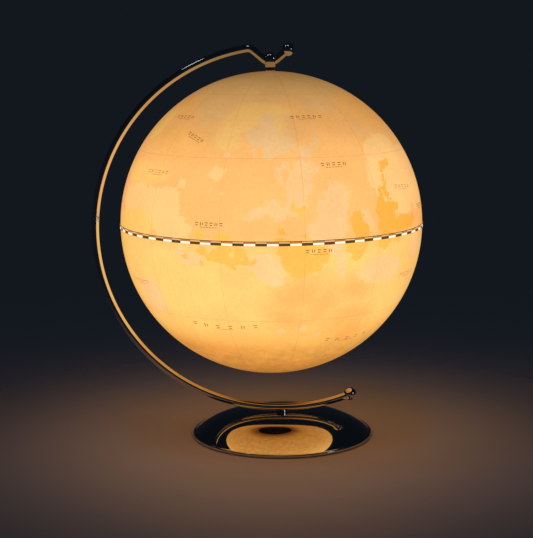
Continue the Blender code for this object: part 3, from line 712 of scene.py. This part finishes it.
# %% Helpers for geometry trees
def geometry_tree(name, **inputs):
    """A tree with a geometry going in and out, and named inputs given as socket types."""
    tree = bpy.data.node_groups.new(name, "GeometryNodeTree")
    tree.interface.new_socket("Geometry", in_out="OUTPUT", socket_type="NodeSocketGeometry")
    for label, kind in {"Geometry": "Geometry", **inputs}.items():
        tree.interface.new_socket(label, in_out="INPUT", socket_type="NodeSocket" + kind)
    return tree, add(tree, "NodeGroupInput").outputs


def close_tree(tree, geometry, finish):
    """End a tree with real geometry in one material."""
    real = add(tree, "GeometryNodeRealizeInstances", {"Geometry": geometry})
    painted = add(tree, "GeometryNodeSetMaterial", {"Geometry": real, "Material": finish})
    add(tree, "NodeGroupOutput", {"Geometry": painted})
    return tree


def grow(name, tree, start=None, **values):
    """Run a geometry tree on a mesh and keep what it makes."""
    thing = in_scene(name, start or bpy.data.meshes.new(name))
    run = thing.modifiers.new("grow", "NODES")
    run.node_group = tree
    for item in tree.interface.items_tree:
        if item.name in values:
            run[item.identifier] = values[item.name]
    return bake(thing)


print("A tree's inputs are set by identifier, then its result is kept as a mesh")

# %% [markdown]
# ## The scale tape round the equator
# The seam is covered by a printed tape like the edge of an old map: a chequer of white and
# dark cells, four degrees each, under a narrow row of amber and peach. The tape's backing
# is a dark ring, so wherever no cell covers it, a thin dark line shows. One tree makes a row
# of curved cells: a flat block is bent to the tape's radius, its width read as an angle,
# and copies are turned about the axis.

# %% A tree for a row of curved cells
def cell_row_tree():
    tree, given = geometry_tree("curved_cells", Count="Int", Radius="Float", Thickness="Float",
                                Low="Float", High="Float", Angle="Float", Start="Float",
                                Finish="Material")
    tall = add(tree, "Math", {0: given["High"], 1: given["Low"]}, operation="SUBTRACT")
    size = add(tree, "CombineXYZ", {"X": given["Angle"], "Y": given["Thickness"], "Z": tall})
    block = add(tree, "GeometryNodeMeshCube", {"Size": size, "Vertices X": 6})
    spot = add(tree, "SeparateXYZ", {"Vector": add(tree, "GeometryNodeInputPosition")}).outputs
    radius = add(tree, "Math", {0: given["Radius"], 1: spot["Y"]}, operation="ADD")
    ends = add(tree, "Math", {0: given["High"], 1: given["Low"]}, operation="ADD")
    height = add(tree, "Math", {0: ends, 1: 0.5, 2: spot["Z"]}, operation="MULTIPLY_ADD")
    upright = add(tree, "CombineXYZ", {"Y": radius, "Z": height})
    angle = add(tree, "Math", {0: math.pi, 1: spot["X"]}, operation="SUBTRACT")
    bent = add(tree, "VectorRotate", {"Vector": upright, "Angle": angle}, rotation_type="Z_AXIS")
    curved = add(tree, "GeometryNodeSetPosition", {"Geometry": block, "Position": bent})
    points = add(tree, "GeometryNodePoints", {"Count": given["Count"], "Position": tuple(GLOBE)})
    step = add(tree, "Math", {0: 2 * math.pi, 1: given["Count"]}, operation="DIVIDE")
    turn = add(tree, "Math", {0: add(tree, "GeometryNodeInputIndex"), 1: step, 2: given["Start"]},
               operation="MULTIPLY_ADD")
    copies = add(tree, "GeometryNodeInstanceOnPoints", {
        "Points": points, "Instance": curved, "Rotation": add(tree, "CombineXYZ", {"Z": turn})})
    return close_tree(tree, copies, given["Finish"])


cell_row = cell_row_tree()
print("The tree has", len(cell_row.nodes), "nodes")

# %% The tape
TAPE_CELLS = 90
TAPE_STEP = 2 * math.pi / TAPE_CELLS
TAPE_START = math.radians(0.25)     # middle of the white cell nearest the front
TAPE_INNER_R = GLOBE_R + GAP
TAPE_BACKING = 0.2 * MM
TAPE_TOP = band_high.z - GLOBE.z
LOWER_ROW = (-TAPE_TOP + 0.12 * MM, 0.05 * MM)
UPPER_ROW = (0.3 * MM, TAPE_TOP - 0.55 * MM)
CELL_R = TAPE_INNER_R + 0.19 * MM
CELL_THICKNESS = 0.2 * MM
SHORT_OF_STEP = 0.35 * MM / GLOBE_R     # the dark line between two cells

inner_r, outer_r = TAPE_INNER_R, TAPE_INNER_R + TAPE_BACKING
ring = [(inner_r, -TAPE_TOP), (outer_r, -TAPE_TOP), (outer_r, TAPE_TOP), (inner_r, TAPE_TOP)]
turn_piece("tape_backing", ring, SHELL_TURNS, tape_dark, "globe", "equator_tape", "equator_band")

for name, ink, (low, high), gap, start in (
        ("tape_white_cells", tape_white, LOWER_ROW, 0, TAPE_START),
        ("tape_brown_cells", tape_brown, LOWER_ROW, SHORT_OF_STEP, TAPE_START + TAPE_STEP),
        ("tape_amber_cells", tape_amber, UPPER_ROW, SHORT_OF_STEP, TAPE_START),
        ("tape_peach_cells", tape_peach, UPPER_ROW, SHORT_OF_STEP, TAPE_START + TAPE_STEP)):
    row = grow(name, cell_row, Count=TAPE_CELLS // 2, Radius=CELL_R, Thickness=CELL_THICKNESS,
               Low=low, High=high, Angle=TAPE_STEP - gap, Start=start, Finish=ink)
    place_piece(row, "globe", "equator_tape")

# %% [markdown]
# ## Rows of bars in place of names
# A map carries names. This one carries rows of small bars instead, the same size and
# weight as a line of print: a row of pairs of bars, and under it a thin broken line. Each
# label has its place, how far it leans, how many signs it has and how far apart they are.
# The bars are points on the sphere with a turn and a size, and a tree puts a thin block on
# each.

# %% Places of the bars
LABELS = [   # longitude, latitude, lean in degrees, signs, pitch in mm, is it red
    (-52, 47, 0, 5, 6.2, False), (-36.2, 38.2, -23, 5, 5.2, False), (-50.5, 23.7, 0, 6, 5.8, True),
    (18.7, 47.6, 0, 6, 5.8, False), (25.2, 27.4, 0, 5, 6.0, False), (59.5, 16.9, -4, 5, 6.8, True),
    (74.8, 8.4, 0, 5, 5.0, False), (-22.6, 6.4, 0, 6, 5.2, False), (16.5, -2.9, 0, 5, 5.8, False),
    (-61.8, -17.8, 0, 7, 5.4, True), (63.6, -15.8, 0, 7, 5.2, True), (-21, -33.3, 0, 6, 13.2, False),
    (39, -41.6, 0, 5, 12.6, False),
]
SIGN = 3.5 * MM
WIDE_PITCH = 8 * MM         # signs set further apart than this are drawn larger
WIDE_SIGN = 1.25
BAR = 0.95 * MM
DASH, DASH_GAP, DASH_HEIGHT = 2.4 * MM, 0.7 * MM, 0.6 * MM
LONGEST_LINE = 22 * MM
LINE_DROP = 3.3 * MM
INK_FILM = 0.08 * MM


def tangent_frame(lon, lat, lean):
    """Axes at a place on the globe: along the row, up the map, and outwards."""
    a, b = math.radians(lon), math.radians(lat)
    out = Vector((math.sin(a) * math.cos(b), -math.cos(a) * math.cos(b), math.sin(b)))
    east = Vector((math.cos(a), math.sin(a), 0))
    north = out.cross(east)
    t = math.radians(lean)
    return east * math.cos(t) + north * math.sin(t), north * math.cos(t) - east * math.sin(t), out


def bars_of(signs, pitch):
    """The bars of one label, as (along, up, width, height) on the map's surface."""
    sign = SIGN * (WIDE_SIGN if pitch > WIDE_PITCH else 1)
    for i in range(signs):
        middle = (i - (signs - 1) / 2) * pitch
        if i % 3 == 1:
            yield middle - 0.3 * sign, 0, BAR, sign
            yield middle + 0.3 * sign, 0, BAR, 0.8 * sign
        else:
            yield middle, 0.32 * sign, sign, BAR
            yield middle, -0.32 * sign, 0.8 * sign, BAR
    count = max(3, round(min(signs * pitch, LONGEST_LINE) * 0.8 / (DASH + DASH_GAP)))
    for i in range(count):
        yield (i - (count - 1) / 2) * (DASH + DASH_GAP), -LINE_DROP, DASH, DASH_HEIGHT


def bar_points(name, labels):
    """A mesh of loose points with each bar's turn and size."""
    spots, turns, sizes = [], [], []
    for lon, lat, lean, signs, pitch, _ in labels:
        along, up, out = tangent_frame(lon, lat, lean)
        for right, rise, width, height in bars_of(signs, pitch * MM):
            spot = (out * GLOBE_R + along * right + up * rise).normalized()
            side = (along - spot * along.dot(spot)).normalized()
            turn = Matrix((side, spot.cross(side), spot)).transposed()
            spots.append(GLOBE + spot * GLOBE_R)
            turns.append(turn.to_euler())
            sizes.append((width, height, INK_FILM))
    mesh = bpy.data.meshes.new(name)
    mesh.from_pydata(spots, [], [])
    for label, values in (("turn", turns), ("size", sizes)):
        kept = mesh.attributes.new(label, "FLOAT_VECTOR", "POINT")
        kept.data.foreach_set("vector", np.array(values, np.float32).ravel())
    return mesh


print(len(LABELS), "labels")

# %% A tree for the bars, and the bars
def bar_tree():
    tree, given = geometry_tree("printed_bars", Finish="Material")
    block = add(tree, "GeometryNodeMeshCube", {"Size": (1, 1, 1)})
    turn, size = [add(tree, "GeometryNodeInputNamedAttribute", {"Name": name}, data_type="FLOAT_VECTOR")
                  for name in ("turn", "size")]
    points = add(tree, "GeometryNodeMeshToPoints", {"Mesh": given["Geometry"]})
    copies = add(tree, "GeometryNodeInstanceOnPoints", {
        "Points": points, "Instance": block, "Rotation": turn, "Scale": size})
    return close_tree(tree, copies, given["Finish"])


bars = bar_tree()
for name, ink, red in (("map_label_bars_brown", label_brown, False),
                       ("map_label_bars_red", label_red, True)):
    points = bar_points(name, [label for label in LABELS if label[-1] == red])
    place_piece(grow(name, bars, points, Finish=ink), "globe", "globe_shell")

# %% [markdown]
# ## The arm's path
# One 8 mm rod makes the whole arm. From the lower ball it sweeps under the globe, rests on
# the base for a few millimetres, and climbs round the left side as a true arc. Over the top
# it turns down into a V, which carries the hanger, and up again to the second ball. The
# path is worked out from those arcs, so every bend stays tangent to its neighbours.

# %% Arcs and bends
ARC_STEP = math.radians(1)


def sweep(centre, radius, start, end):
    """Points of an arc; the angle is taken from straight down, positive towards +X."""
    steps = max(2, math.ceil(abs(end - start) / ARC_STEP))
    angles = [start + (end - start) * i / steps for i in range(steps + 1)]
    return [centre + radius * Vector((math.sin(a), -math.cos(a))) for a in angles]


def bend(corner, arriving, leaving, radius, steps):
    """A round bend between two directions that would meet at the corner."""
    turn = arriving.angle(leaving)
    start = corner - arriving * radius * math.tan(turn / 2)
    middle = corner + (leaving - arriving).normalized() * radius / math.cos(turn / 2)
    sign = math.copysign(1.0, arriving.x * leaving.y - arriving.y * leaving.x)
    turns = [Matrix.Rotation(sign * turn * i / steps, 2) for i in range(steps + 1)]
    return [middle + part @ (start - middle) for part in turns]


def arm_path():
    """The rod's centre line in the XZ plane, from the lower ball to the upper one."""
    seat = Vector((SEAT_HALF, ROD_Z))
    tip_centre = seat + Vector((0, TIP_ARC_R))
    arc_centre = Vector((-SEAT_HALF, ROD_Z + ARC_R))
    leg = Vector((-math.cos(LEG_ANGLE), math.sin(LEG_ANGLE)))
    gap = VEE - arc_centre
    along = -gap.dot(leg) + math.sqrt(gap.dot(leg) ** 2 - gap.length_squared + ARC_R ** 2)
    corner = gap + leg * along
    peak = -math.pi + math.atan2(-corner.x, corner.y)
    down, up = -leg, Vector((math.cos(LEG_ANGLE), math.sin(LEG_ANGLE)))
    rise = Vector((-math.cos(peak), -math.sin(peak)))
    setback = PEAK_BEND_R * math.tan(rise.angle(down) / 2) / ARC_R

    points = sweep(tip_centre, TIP_ARC_R, TIP_ANGLE - BALL_SETBACK / TIP_ARC_R, 0)
    points += sweep(arc_centre, ARC_R, 0, peak + setback)
    points += bend(arc_centre + corner, rise, down, PEAK_BEND_R, 20)[1:]
    points += bend(VEE, down, up, VEE_BEND_R, 24)
    points.append(VEE + up * (END_LEG - BALL_SETBACK))
    return points


path = arm_path()
length = sum((b - a).length for a, b in zip(path, path[1:]))
print(f"The rod's path has {len(path)} points and is {length / MM:.0f} mm long")

# %% [markdown]
# ## The rod
# A tree draws a circle of the rod's radius along the path and closes its ends. The rod is
# tapped from below for the bolt that holds it to the base, so that hole is cut out of it.

# %% A tree for a rod on a path
def rod_tree():
    tree, given = geometry_tree("rod_on_path", Radius="Float", Sides="Int", Finish="Material")
    line = add(tree, "GeometryNodeMeshToCurve", {"Mesh": given["Geometry"]})
    circle = add(tree, "GeometryNodeCurvePrimitiveCircle", {"Resolution": given["Sides"],
                                                            "Radius": given["Radius"]})
    tube = add(tree, "GeometryNodeCurveToMesh", {"Curve": line, "Profile Curve": circle,
                                                 "Fill Caps": True})
    return close_tree(tree, tube, given["Finish"])


def rod_along(name, points, radius, sides):
    """A closed rod on a path in the XZ plane."""
    line = bpy.data.meshes.new(name + "_path")
    edges = [(i, i + 1) for i in range(len(points) - 1)]
    line.from_pydata([(p.x, 0, p.y) for p in points], edges, [])
    rod = grow(name, rods, line, Radius=radius, Sides=sides, Finish=chrome)
    bm = bmesh.new()
    bm.from_mesh(rod.data)
    bmesh.ops.remove_doubles(bm, verts=bm.verts, dist=0.01 * MM)
    bmesh.ops.recalc_face_normals(bm, faces=bm.faces)
    bm.to_mesh(rod.data)
    bm.free()
    rod.data.shade_smooth()
    rod.data.set_sharp_from_angle(angle=SHARP)
    return rod


rods = rod_tree()
ROD_SIDES = 32
M5_HOLE_R = 2.8 * MM
TAPPED = (20 * MM, 31.4 * MM)       # the cutter's heights; the hole is blind at the upper one
arm = rod_along("arm", path, ROD_R, ROD_SIDES)
tapping_outline = [(0, TAPPED[0]), (M5_HOLE_R, TAPPED[0]), (M5_HOLE_R, TAPPED[1]), (0, TAPPED[1])]
tapping = as_object("tapping", turned(tapping_outline, 32), zinc)
place_piece(carve(arm, tapping), "stand", "polished_chrome", "arm_rod")

# %% [markdown]
# ## The two end balls
# A ball on each end of the rod keeps the hand away from a cut edge. Each is turned, with a
# blind hole that takes the rod, and its mouth has a fine countersink that shows as a thin
# dark line round the rod.

# %% Balls
COUNTERSINK = (0.25 * MM, 0.3 * MM)     # how much wider than the hole its mouth is, and how deep


def end_ball(name, x, z, angle, node):
    """A ball at a place of the XZ plane, whose rod leaves at this angle from +X."""
    hole_r = ROD_R + GAP
    mouth = math.acos((hole_r + COUNTERSINK[0]) / BALL_R)
    floor = BALL_SETBACK - GAP
    outline = [(0, floor), (hole_r, floor), (hole_r, BALL_R * math.sin(mouth) - COUNTERSINK[1])]
    outline += arc((0, 0), BALL_R, math.degrees(mouth), -90, 40)
    to_rod = Vector((math.cos(angle), 0, math.sin(angle)))
    turn = Vector((0, 0, 1)).rotation_difference(to_rod).to_matrix().to_4x4()
    turn_piece(name, outline, 64, chrome, "stand", "polished_chrome", node,
               at=Matrix.Translation((x, 0, z)) @ turn)


end_ball("arm_ball_lower", SEAT_HALF + TIP_ARC_R * math.sin(TIP_ANGLE),
         ROD_Z + TIP_ARC_R * (1 - math.cos(TIP_ANGLE)), math.pi + TIP_ANGLE, "lower_ball")
end_ball("arm_ball_upper", VEE.x + END_LEG * math.cos(LEG_ANGLE),
         VEE.y + END_LEG * math.sin(LEG_ANGLE), math.pi + LEG_ANGLE, "upper_ball")

# %% [markdown]
# ## The base
# The base is a disc spun from sheet steel: nearly flat on top, steeper towards its edge,
# with a small bead where the edge is rolled under. That shape is what makes the golden
# patch in it: a dome this low gathers the whole underside of the globe into one reflection.
# Its height follows a power of the radius, so the curve is smooth enough for a mirror.

# %% The base's dome
DOME_R = 95 * MM
DOME_RISE = 20 * MM
DOME_POWER = 3.7             # flat on top and steep at the rim
RIM_TOP = 4 * MM
BASE_R = 97 * MM
RIM_BOTTOM = 0.9 * MM
BEAD_HEIGHT = 2.6 * MM
RIM_INNER_R = 91.8 * MM
BASE_WALL = 2 * MM
BOLT_HOLE_R = 3 * MM
DOME_STEPS = 64


def dome_top(radius):
    """Height of the dome at this radius."""
    return RIM_TOP + DOME_RISE * (1 - (radius / DOME_R) ** DOME_POWER)


def dome_under(radius):
    """One wall thickness in, measured square to the surface."""
    slope = DOME_RISE * DOME_POWER / DOME_R * (radius / DOME_R) ** (DOME_POWER - 1)
    return dome_top(radius) - BASE_WALL * math.hypot(1, slope)


def base_outline():
    shares = [math.sin(math.pi / 2 * i / DOME_STEPS) for i in range(DOME_STEPS + 1)]
    radii = [BOLT_HOLE_R + (DOME_R - BOLT_HOLE_R) * share for share in shares]
    bead_r, foot_r = 1.5 * MM, 0.3 * MM
    outline = [(r, dome_top(r)) for r in radii]
    outline += arc((BASE_R - bead_r, BEAD_HEIGHT), bead_r, 100, 0, 10)
    outline += arc((BASE_R - foot_r, RIM_BOTTOM + foot_r), foot_r, 0, -90, 3)
    outline += [(RIM_INNER_R, RIM_BOTTOM), (RIM_INNER_R, dome_under(RIM_INNER_R))]
    return outline + [(r, dome_under(r)) for r in radii[::-4] if r < RIM_INNER_R - MM]


turn_piece("base_dome", base_outline(), 256, chrome, "stand", "polished_chrome", "base_shell",
           at=AT_BASE)

# %% [markdown]
# ## What shows under the base
# The foam pad is die-cut from sheet, so its edge is straight with the least round where the
# knife pressed it in. The boss under the rod is a short turned post whose top is milled to
# the rod's curve.

# %% Pad and boss
PAD_R = 90 * MM
PAD_TOP = 1.6 * MM
SMALL_ROUND = 0.4 * MM
pad_outline = [(0, 0), (PAD_R - SMALL_ROUND, 0)]
pad_outline += arc((PAD_R - SMALL_ROUND, SMALL_ROUND), SMALL_ROUND, -90, 0, 4)[1:]
pad_outline += [(PAD_R, PAD_TOP), (0, PAD_TOP)]
turn_piece("foot_pad", pad_outline, 192, foam, "stand", "eva_foam", "base_pad", at=AT_BASE)

BOSS_R = 5.5 * MM
BOSS_TOP = 27.5 * MM
boss_foot = dome_top(0) + GAP
boss_outline = [(M5_HOLE_R, boss_foot), (BOSS_R, boss_foot), (BOSS_R, BOSS_TOP - SMALL_ROUND)]
boss_outline += [(BOSS_R - SMALL_ROUND, BOSS_TOP), (M5_HOLE_R, BOSS_TOP)]
SEAT_CUT = 12 * MM          # how far the cutter reaches to each side
seat_line = [Vector((side * SEAT_CUT, ROD_Z)) for side in (-1, 1)]
turn_piece("arm_boss_turned", boss_outline, 64, chrome, "stand", "polished_chrome", "arm_boss",
           at=AT_BASE, cutters=[rod_along("seat", seat_line, ROD_R + GAP, 48)])

# %% [markdown]
# ## The hanger
# The hub is a bell turned from brass and plated: a skirt that narrows downwards, a
# round top, and a cross hole through which the rod's V passes with a little play, so that
# the globe can rock on it. Its spindle reaches down into the globe. Under it a black spool
# keeps the hub clear of the shell.

# %% Hub and spool
HUB_R = 6.95 * MM
HUB_TOP = 179.9 * MM        # heights from here on are above the globe's middle
SKIRT_HIGH = 170.2 * MM
HUB_BOTTOM = 164.2 * MM
MOUTH_R = 5.1 * MM
MOUTH_ROUND = 0.25 * MM
SPINDLE_R = 2.5 * MM
SPINDLE_FOOT = 147.6 * MM
HUB_CLEARANCE = 0.6 * MM

hub_outline = [(0, SPINDLE_FOOT), (SPINDLE_R - 0.3 * MM, SPINDLE_FOOT),
               (SPINDLE_R, SPINDLE_FOOT + 0.3 * MM), (SPINDLE_R, HUB_BOTTOM), (MOUTH_R, HUB_BOTTOM),
               (MOUTH_R + MOUTH_ROUND, HUB_BOTTOM + MOUTH_ROUND),
               (HUB_R - 0.08 * MM, SKIRT_HIGH - 0.5 * MM), (HUB_R, SKIRT_HIGH)]
hub_outline += arc((0, HUB_TOP - HUB_R), HUB_R, 0, 90, 24)

lowering = Vector((0, HUB_CLEARANCE - GAP))
near_hub = [p - lowering for p in path if p.x > GLOBE.x - 30 * MM and p.y > GLOBE.z + GLOBE_R]
turn_piece("hanger_bell", hub_outline, 72, chrome, "hanger", "polished_chrome", "hanger_hub",
           cutters=[rod_along("passage", near_hub, ROD_R + HUB_CLEARANCE, 40)])

SPOOL_LOW, SPOOL_HIGH = 161.5 * MM, 163.9 * MM
waist = (SPOOL_LOW + SPOOL_HIGH) / 2
spool_outline = [(M5_HOLE_R, SPOOL_LOW), (4.7 * MM, SPOOL_LOW), (4.7 * MM, SPOOL_LOW + 0.3 * MM)]
spool_outline += arc((4.75 * MM, waist), 1.15 * MM, -130, -230, 12)
spool_outline += [(4.6 * MM, SPOOL_HIGH - 0.2 * MM), (4.6 * MM, SPOOL_HIGH), (M5_HOLE_R, SPOOL_HIGH)]
turn_piece("neck_spool", spool_outline, 64, black_abs, "hanger", "black_plastic", "neck_spacer")

# %% [markdown]
# ## Bearing at the north pole
# A flanged acetal bush lines the hole in the shell. Only its flange shows, a thin ring
# under the spool.

# %% Bush
BUSH_LOW, BUSH_HIGH = 154.2 * MM, 161.2 * MM
BUSH_R, FLANGE_R = 4 * MM, 5.2 * MM
FLANGE_LOW = 160.3 * MM
FLANGE_ROUND = 0.3 * MM
bush_outline = [(M5_HOLE_R, BUSH_LOW), (BUSH_R - 0.2 * MM, BUSH_LOW), (BUSH_R, BUSH_LOW + 0.3 * MM),
                (BUSH_R, FLANGE_LOW), (FLANGE_R, FLANGE_LOW)]
bush_outline += arc((FLANGE_R - FLANGE_ROUND, BUSH_HIGH - FLANGE_ROUND), FLANGE_ROUND, 0, 90, 4)
bush_outline += [(M5_HOLE_R, BUSH_HIGH)]
turn_piece("pole_bush", bush_outline, 64, acetal, "globe", "natural_acetal", "top_bushing")

# %% [markdown]
# ## The cap at the south pole
# The cap closes the lamp from below. Outside it carries on the globe's own curve, with a
# narrow shadow line round it, and it has a round hole for the push button and a slot for
# the charging plug. Its skirt grips the lamp's tube inside.

# %% The cap
CAP_R = 24 * MM
CAP_LIP = -157.9 * MM
CAP_TOP = -157 * MM
SKIRT_INNER_R, SKIRT_OUTER_R = 17.6 * MM, 20.1 * MM
SKIRT_TOP = -149.5 * MM
CUT_LOW, CUT_HIGH = -165 * MM, -150 * MM
SOCKET_WIDTH, SOCKET_DEPTH, SOCKET_Y = 9.6 * MM, 3.8 * MM, -13 * MM
BUTTON_HOLE_R = 6 * MM
HOLE_CHAMFER = 0.4 * MM
POST_X, POST_R, POST_TOP, POST_HOLE_R = 14.3 * MM, 2.4 * MM, -152.4 * MM, 1.3 * MM


def socket_cutter():
    """An upright block with round ends along X."""
    radius, half = SOCKET_DEPTH / 2, (SOCKET_WIDTH - SOCKET_DEPTH) / 2
    bm = bmesh.new()
    bottom = []
    for side in (1, -1):
        for i in range(13):
            a = -math.pi / 2 + math.pi * i / 12
            x, y = side * (half + radius * math.cos(a)), SOCKET_Y + side * radius * math.sin(a)
            bottom.append(bm.verts.new((x, y, CUT_LOW)))
    grown = bmesh.ops.extrude_face_region(bm, geom=[bm.faces.new(bottom)])["geom"]
    verts = [part for part in grown if isinstance(part, bmesh.types.BMVert)]
    bmesh.ops.translate(bm, vec=(0, 0, CUT_HIGH - CUT_LOW), verts=verts)
    bmesh.ops.recalc_face_normals(bm, faces=bm.faces)
    return as_object("usb_hole", bm, black_abs, AT_GLOBE)


radii = [CAP_R * i / 24 for i in range(24)] + [CAP_R - 0.15 * MM]
cap_outline = [(r, -math.sqrt(GLOBE_R ** 2 - r ** 2)) for r in radii]
cap_outline += [(CAP_R, CAP_LIP), (CAP_R, CAP_TOP), (SKIRT_OUTER_R, CAP_TOP),
                (SKIRT_OUTER_R, SKIRT_TOP), (SKIRT_INNER_R, SKIRT_TOP), (SKIRT_INNER_R, CAP_TOP),
                (0, CAP_TOP)]
mouth = CUT_LOW + 5.2 * MM
button_hole = [(0, CUT_LOW), (BUTTON_HOLE_R + HOLE_CHAMFER, CUT_LOW),
               (BUTTON_HOLE_R + HOLE_CHAMFER, mouth), (BUTTON_HOLE_R, mouth + HOLE_CHAMFER),
               (BUTTON_HOLE_R, CUT_HIGH), (0, CUT_HIGH)]
drill = as_object("button_hole", turned(button_hole, 64), black_abs, AT_GLOBE)
turn_piece("lamp_cap", cap_outline, 96, black_abs, "globe", "black_plastic", "bottom_cap",
           cutters=[drill, socket_cutter()])

for side, word in ((1, "right"), (-1, "left")):
    post = [(POST_HOLE_R, CAP_TOP), (POST_R, CAP_TOP), (POST_R, POST_TOP), (POST_HOLE_R, POST_TOP)]
    turn_piece(f"cap_post_{word}", post, 32, black_abs, "globe", "black_plastic",
               at=AT_GLOBE @ Matrix.Translation((side * POST_X, 0, 0)))

# %% The button
BUTTON_R, COLLAR_R = 5.5 * MM, 7.4 * MM
COLLAR_LOW, COLLAR_HIGH = 3.3 * MM, 4 * MM
BUTTON_ROUND = 0.5 * MM
BUTTON_FACE = -0.9 * MM             # its face is dished in the middle, for the fingertip
button_outline = [(0, -0.55 * MM), (2.2 * MM, -0.6 * MM), (3.8 * MM, BUTTON_FACE)]
button_outline += arc((BUTTON_R - BUTTON_ROUND, BUTTON_FACE + BUTTON_ROUND), BUTTON_ROUND, -90, 0, 5)
button_outline += [(BUTTON_R, COLLAR_LOW), (COLLAR_R, COLLAR_LOW), (COLLAR_R, COLLAR_HIGH),
                   (0, COLLAR_HIGH)]
turn_piece("push_button", button_outline, 64, black_abs, "button", "black_plastic", "power_button",
           at=AT_GLOBE @ Matrix.Translation((0, 0, -GLOBE_R)))

# %% [markdown]
# ## The opal dome over the LEDs
# Inside the globe a small opal dome spreads the LEDs' light. It is turned again, finer than
# the CAD solid, with a flat foot that sits on the lamp's board.

# %% Opal dome
OPAL_R = 22.4 * MM
OPAL_WALL = 1.6 * MM
OPAL_FOOT = -79.8 * MM
opal_outline = arc((0, OPAL_FOOT), OPAL_R - OPAL_WALL, 90, 0, 20)
opal_outline += arc((0, OPAL_FOOT), OPAL_R, 0, 90, 20)
turn_piece("opal_dome", opal_outline, 72, opal, "globe", "opal_plastic", "led_diffuser")

# %% [markdown]
# ## Finishes for the pieces that keep their CAD shape
# Screws, washers, boards, the cell and the tubes inside have the right shape already, so
# they only change their material. Each CAD node has one slot, which takes its finish here.

# %% Finishes for CAD nodes
FINISH_OF = {
    "ballast_plate": iron, "bottom_cover": zinc, "arm_bolt": zinc, "lock_washer": zinc,
    "bolt_washer": zinc, "spindle_washer": zinc, "spindle_nut": zinc, "joining_ring": white_abs,
    "bushing_nut": black_abs, "lamp_collar": white_abs, "lamp_housing": white_abs,
    "control_board": green_board, "tact_switch": black_abs, "usb_socket": tin, "battery_cell": wrap,
    "cell_spacer": foam, "lead_red": red_wire, "lead_black": black_wire, "led_board": white_board,
}
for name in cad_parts:
    if name.startswith(("cover_screw", "board_screw")):
        FINISH_OF[name] = zinc
    if name.startswith("led_") and name[4:].isdigit():
        FINISH_OF[name] = phosphor
for name, finish in FINISH_OF.items():
    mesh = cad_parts[name].data
    mesh.materials.clear()
    mesh.materials.append(finish)
bare = [n for n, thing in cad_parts.items() if not thing.hide_render and n not in FINISH_OF]
print(len(FINISH_OF), "CAD nodes have their finish; left over:", bare)

# %% [markdown]
# ## Floor, light and camera
# The lamp is the main light, so the studio stays low: a pale matt floor with a painted pool
# of light round the globe that fades into a dim, slightly blue room, and three small soft
# boxes that draw the chrome's edges. Too much light would wash out the glow, and chrome has
# no colour of its own, so it needs something dark to mirror as much as something bright.

# %% Floor
FLOOR_R = 3.0
# The middle and the half-way radius of a painted pool of light on the floor round the globe
PAINTED_LIGHT_MIDDLE = Vector((0, -0.04, 0))
PAINTED_LIGHT_RADIUS = 0.345           # here the painted pool of light has faded by half into the dark room


def pale_floor():
    material, tree, place = new_material("floor_pale_matt_painted_light_pool")
    noise = add(tree, "TexNoise", {"Vector": place, "Scale": 1 / (60 * MM), "Detail": 4.0})
    tone = add(tree, "Mix", {"Factor": noise, "A": linear("C6C7F2"), "B": linear("CCCDF8")},
               data_type="RGBA")
    # Painted pool of light: the alpha fades the floor into the dark room with distance from the globe,
    # while the globe's own light on the floor is real
    reach = add(tree, "VectorMath", {0: place, 1: PAINTED_LIGHT_MIDDLE}, operation="DISTANCE")
    share = add(tree, "Math", {0: reach, 1: PAINTED_LIGHT_RADIUS}, operation="DIVIDE")
    steep = add(tree, "Math", {0: share, 1: 4.0}, operation="POWER")
    more = add(tree, "Math", {0: steep, 1: 1.0}, operation="ADD")
    whole = add(tree, "Math", {0: 1.0, 1: more}, operation="DIVIDE")
    return close_material(material, {"Base Color": tone, "Roughness": 0.6, "IOR": 1.45, "Alpha": whole})


floor_mesh = bmesh.new()
bmesh.ops.create_circle(floor_mesh, cap_ends=True, radius=FLOOR_R, segments=96)
floor = as_object("floor", floor_mesh, pale_floor())
floor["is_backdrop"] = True
print("The floor is", 2 * FLOOR_R, "m across and fades into the room")

# %% Light
world = bpy.data.worlds.new("dim_room")
world.use_nodes = True
room = world.node_tree
room.nodes.clear()
towards = add(room, "SeparateXYZ", {"Vector": add(room, "TexCoord")}).outputs["Z"]
rise = add(room, "MapRange", {"Value": towards, "From Min": 0.04, "From Max": 0.35})
wall = add(room, "Mix", {"Factor": rise, "A": linear("13181F"), "B": linear("0C1116")},
           data_type="RGBA")
add(room, "OutputWorld", {"Surface": add(room, "Background", {"Color": wall})})
bpy.context.scene.world = world

RADIANCE = 2.0
SOFT_BOXES = (   # name, place from the globe's centre and side, in metres
    ("soft_box_overhead", Vector((0.0, -0.60, 1.90)), 0.30),
    ("soft_box_right", Vector((1.65, -0.85, 0.40)), 0.30),
    ("soft_box_left", Vector((-0.95, -0.30, 1.70)), 0.26),
)
for name, place, side in SOFT_BOXES:
    light = bpy.data.lights.new(name, "AREA")
    light.shape = "SQUARE"
    light.size = side
    light.energy = RADIANCE * math.pi * side ** 2
    light.color = (0.92, 0.96, 1.0)
    box = in_scene(name, light)
    box.location = GLOBE + place
    box.rotation_euler = (-place).to_track_quat("-Z", "Y").to_euler()
print(len(SOFT_BOXES), "soft boxes")

# %% Camera
CAMERA_FROM_GLOBE = Vector((-5.5, -1523.2, 197.8)) * MM
LOOK_DOWN = math.radians(9.25)
ROLL = math.radians(-0.42)
camera = in_scene("camera", bpy.data.cameras.new("camera"))
camera.data.lens = 96.28
camera.data.sensor_width = 36.0
level = Matrix.Rotation(math.pi / 2 - LOOK_DOWN, 4, "X") @ Matrix.Rotation(ROLL, 4, "Z")
camera.matrix_world = Matrix.Translation(GLOBE + CAMERA_FROM_GLOBE) @ level
bpy.context.scene.camera = camera
bpy.context.scene.view_settings.view_transform = "Standard"
print("The camera stands", round(CAMERA_FROM_GLOBE.length, 2), "m from the globe")

# %% [markdown]
# ## The size of the shown model
# The looks never change the object's size. The box of the shown model is printed.

# %% Finish
low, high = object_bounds()
print("Visual box in mm:", [round(1000 * d, 1) for d in high - low])
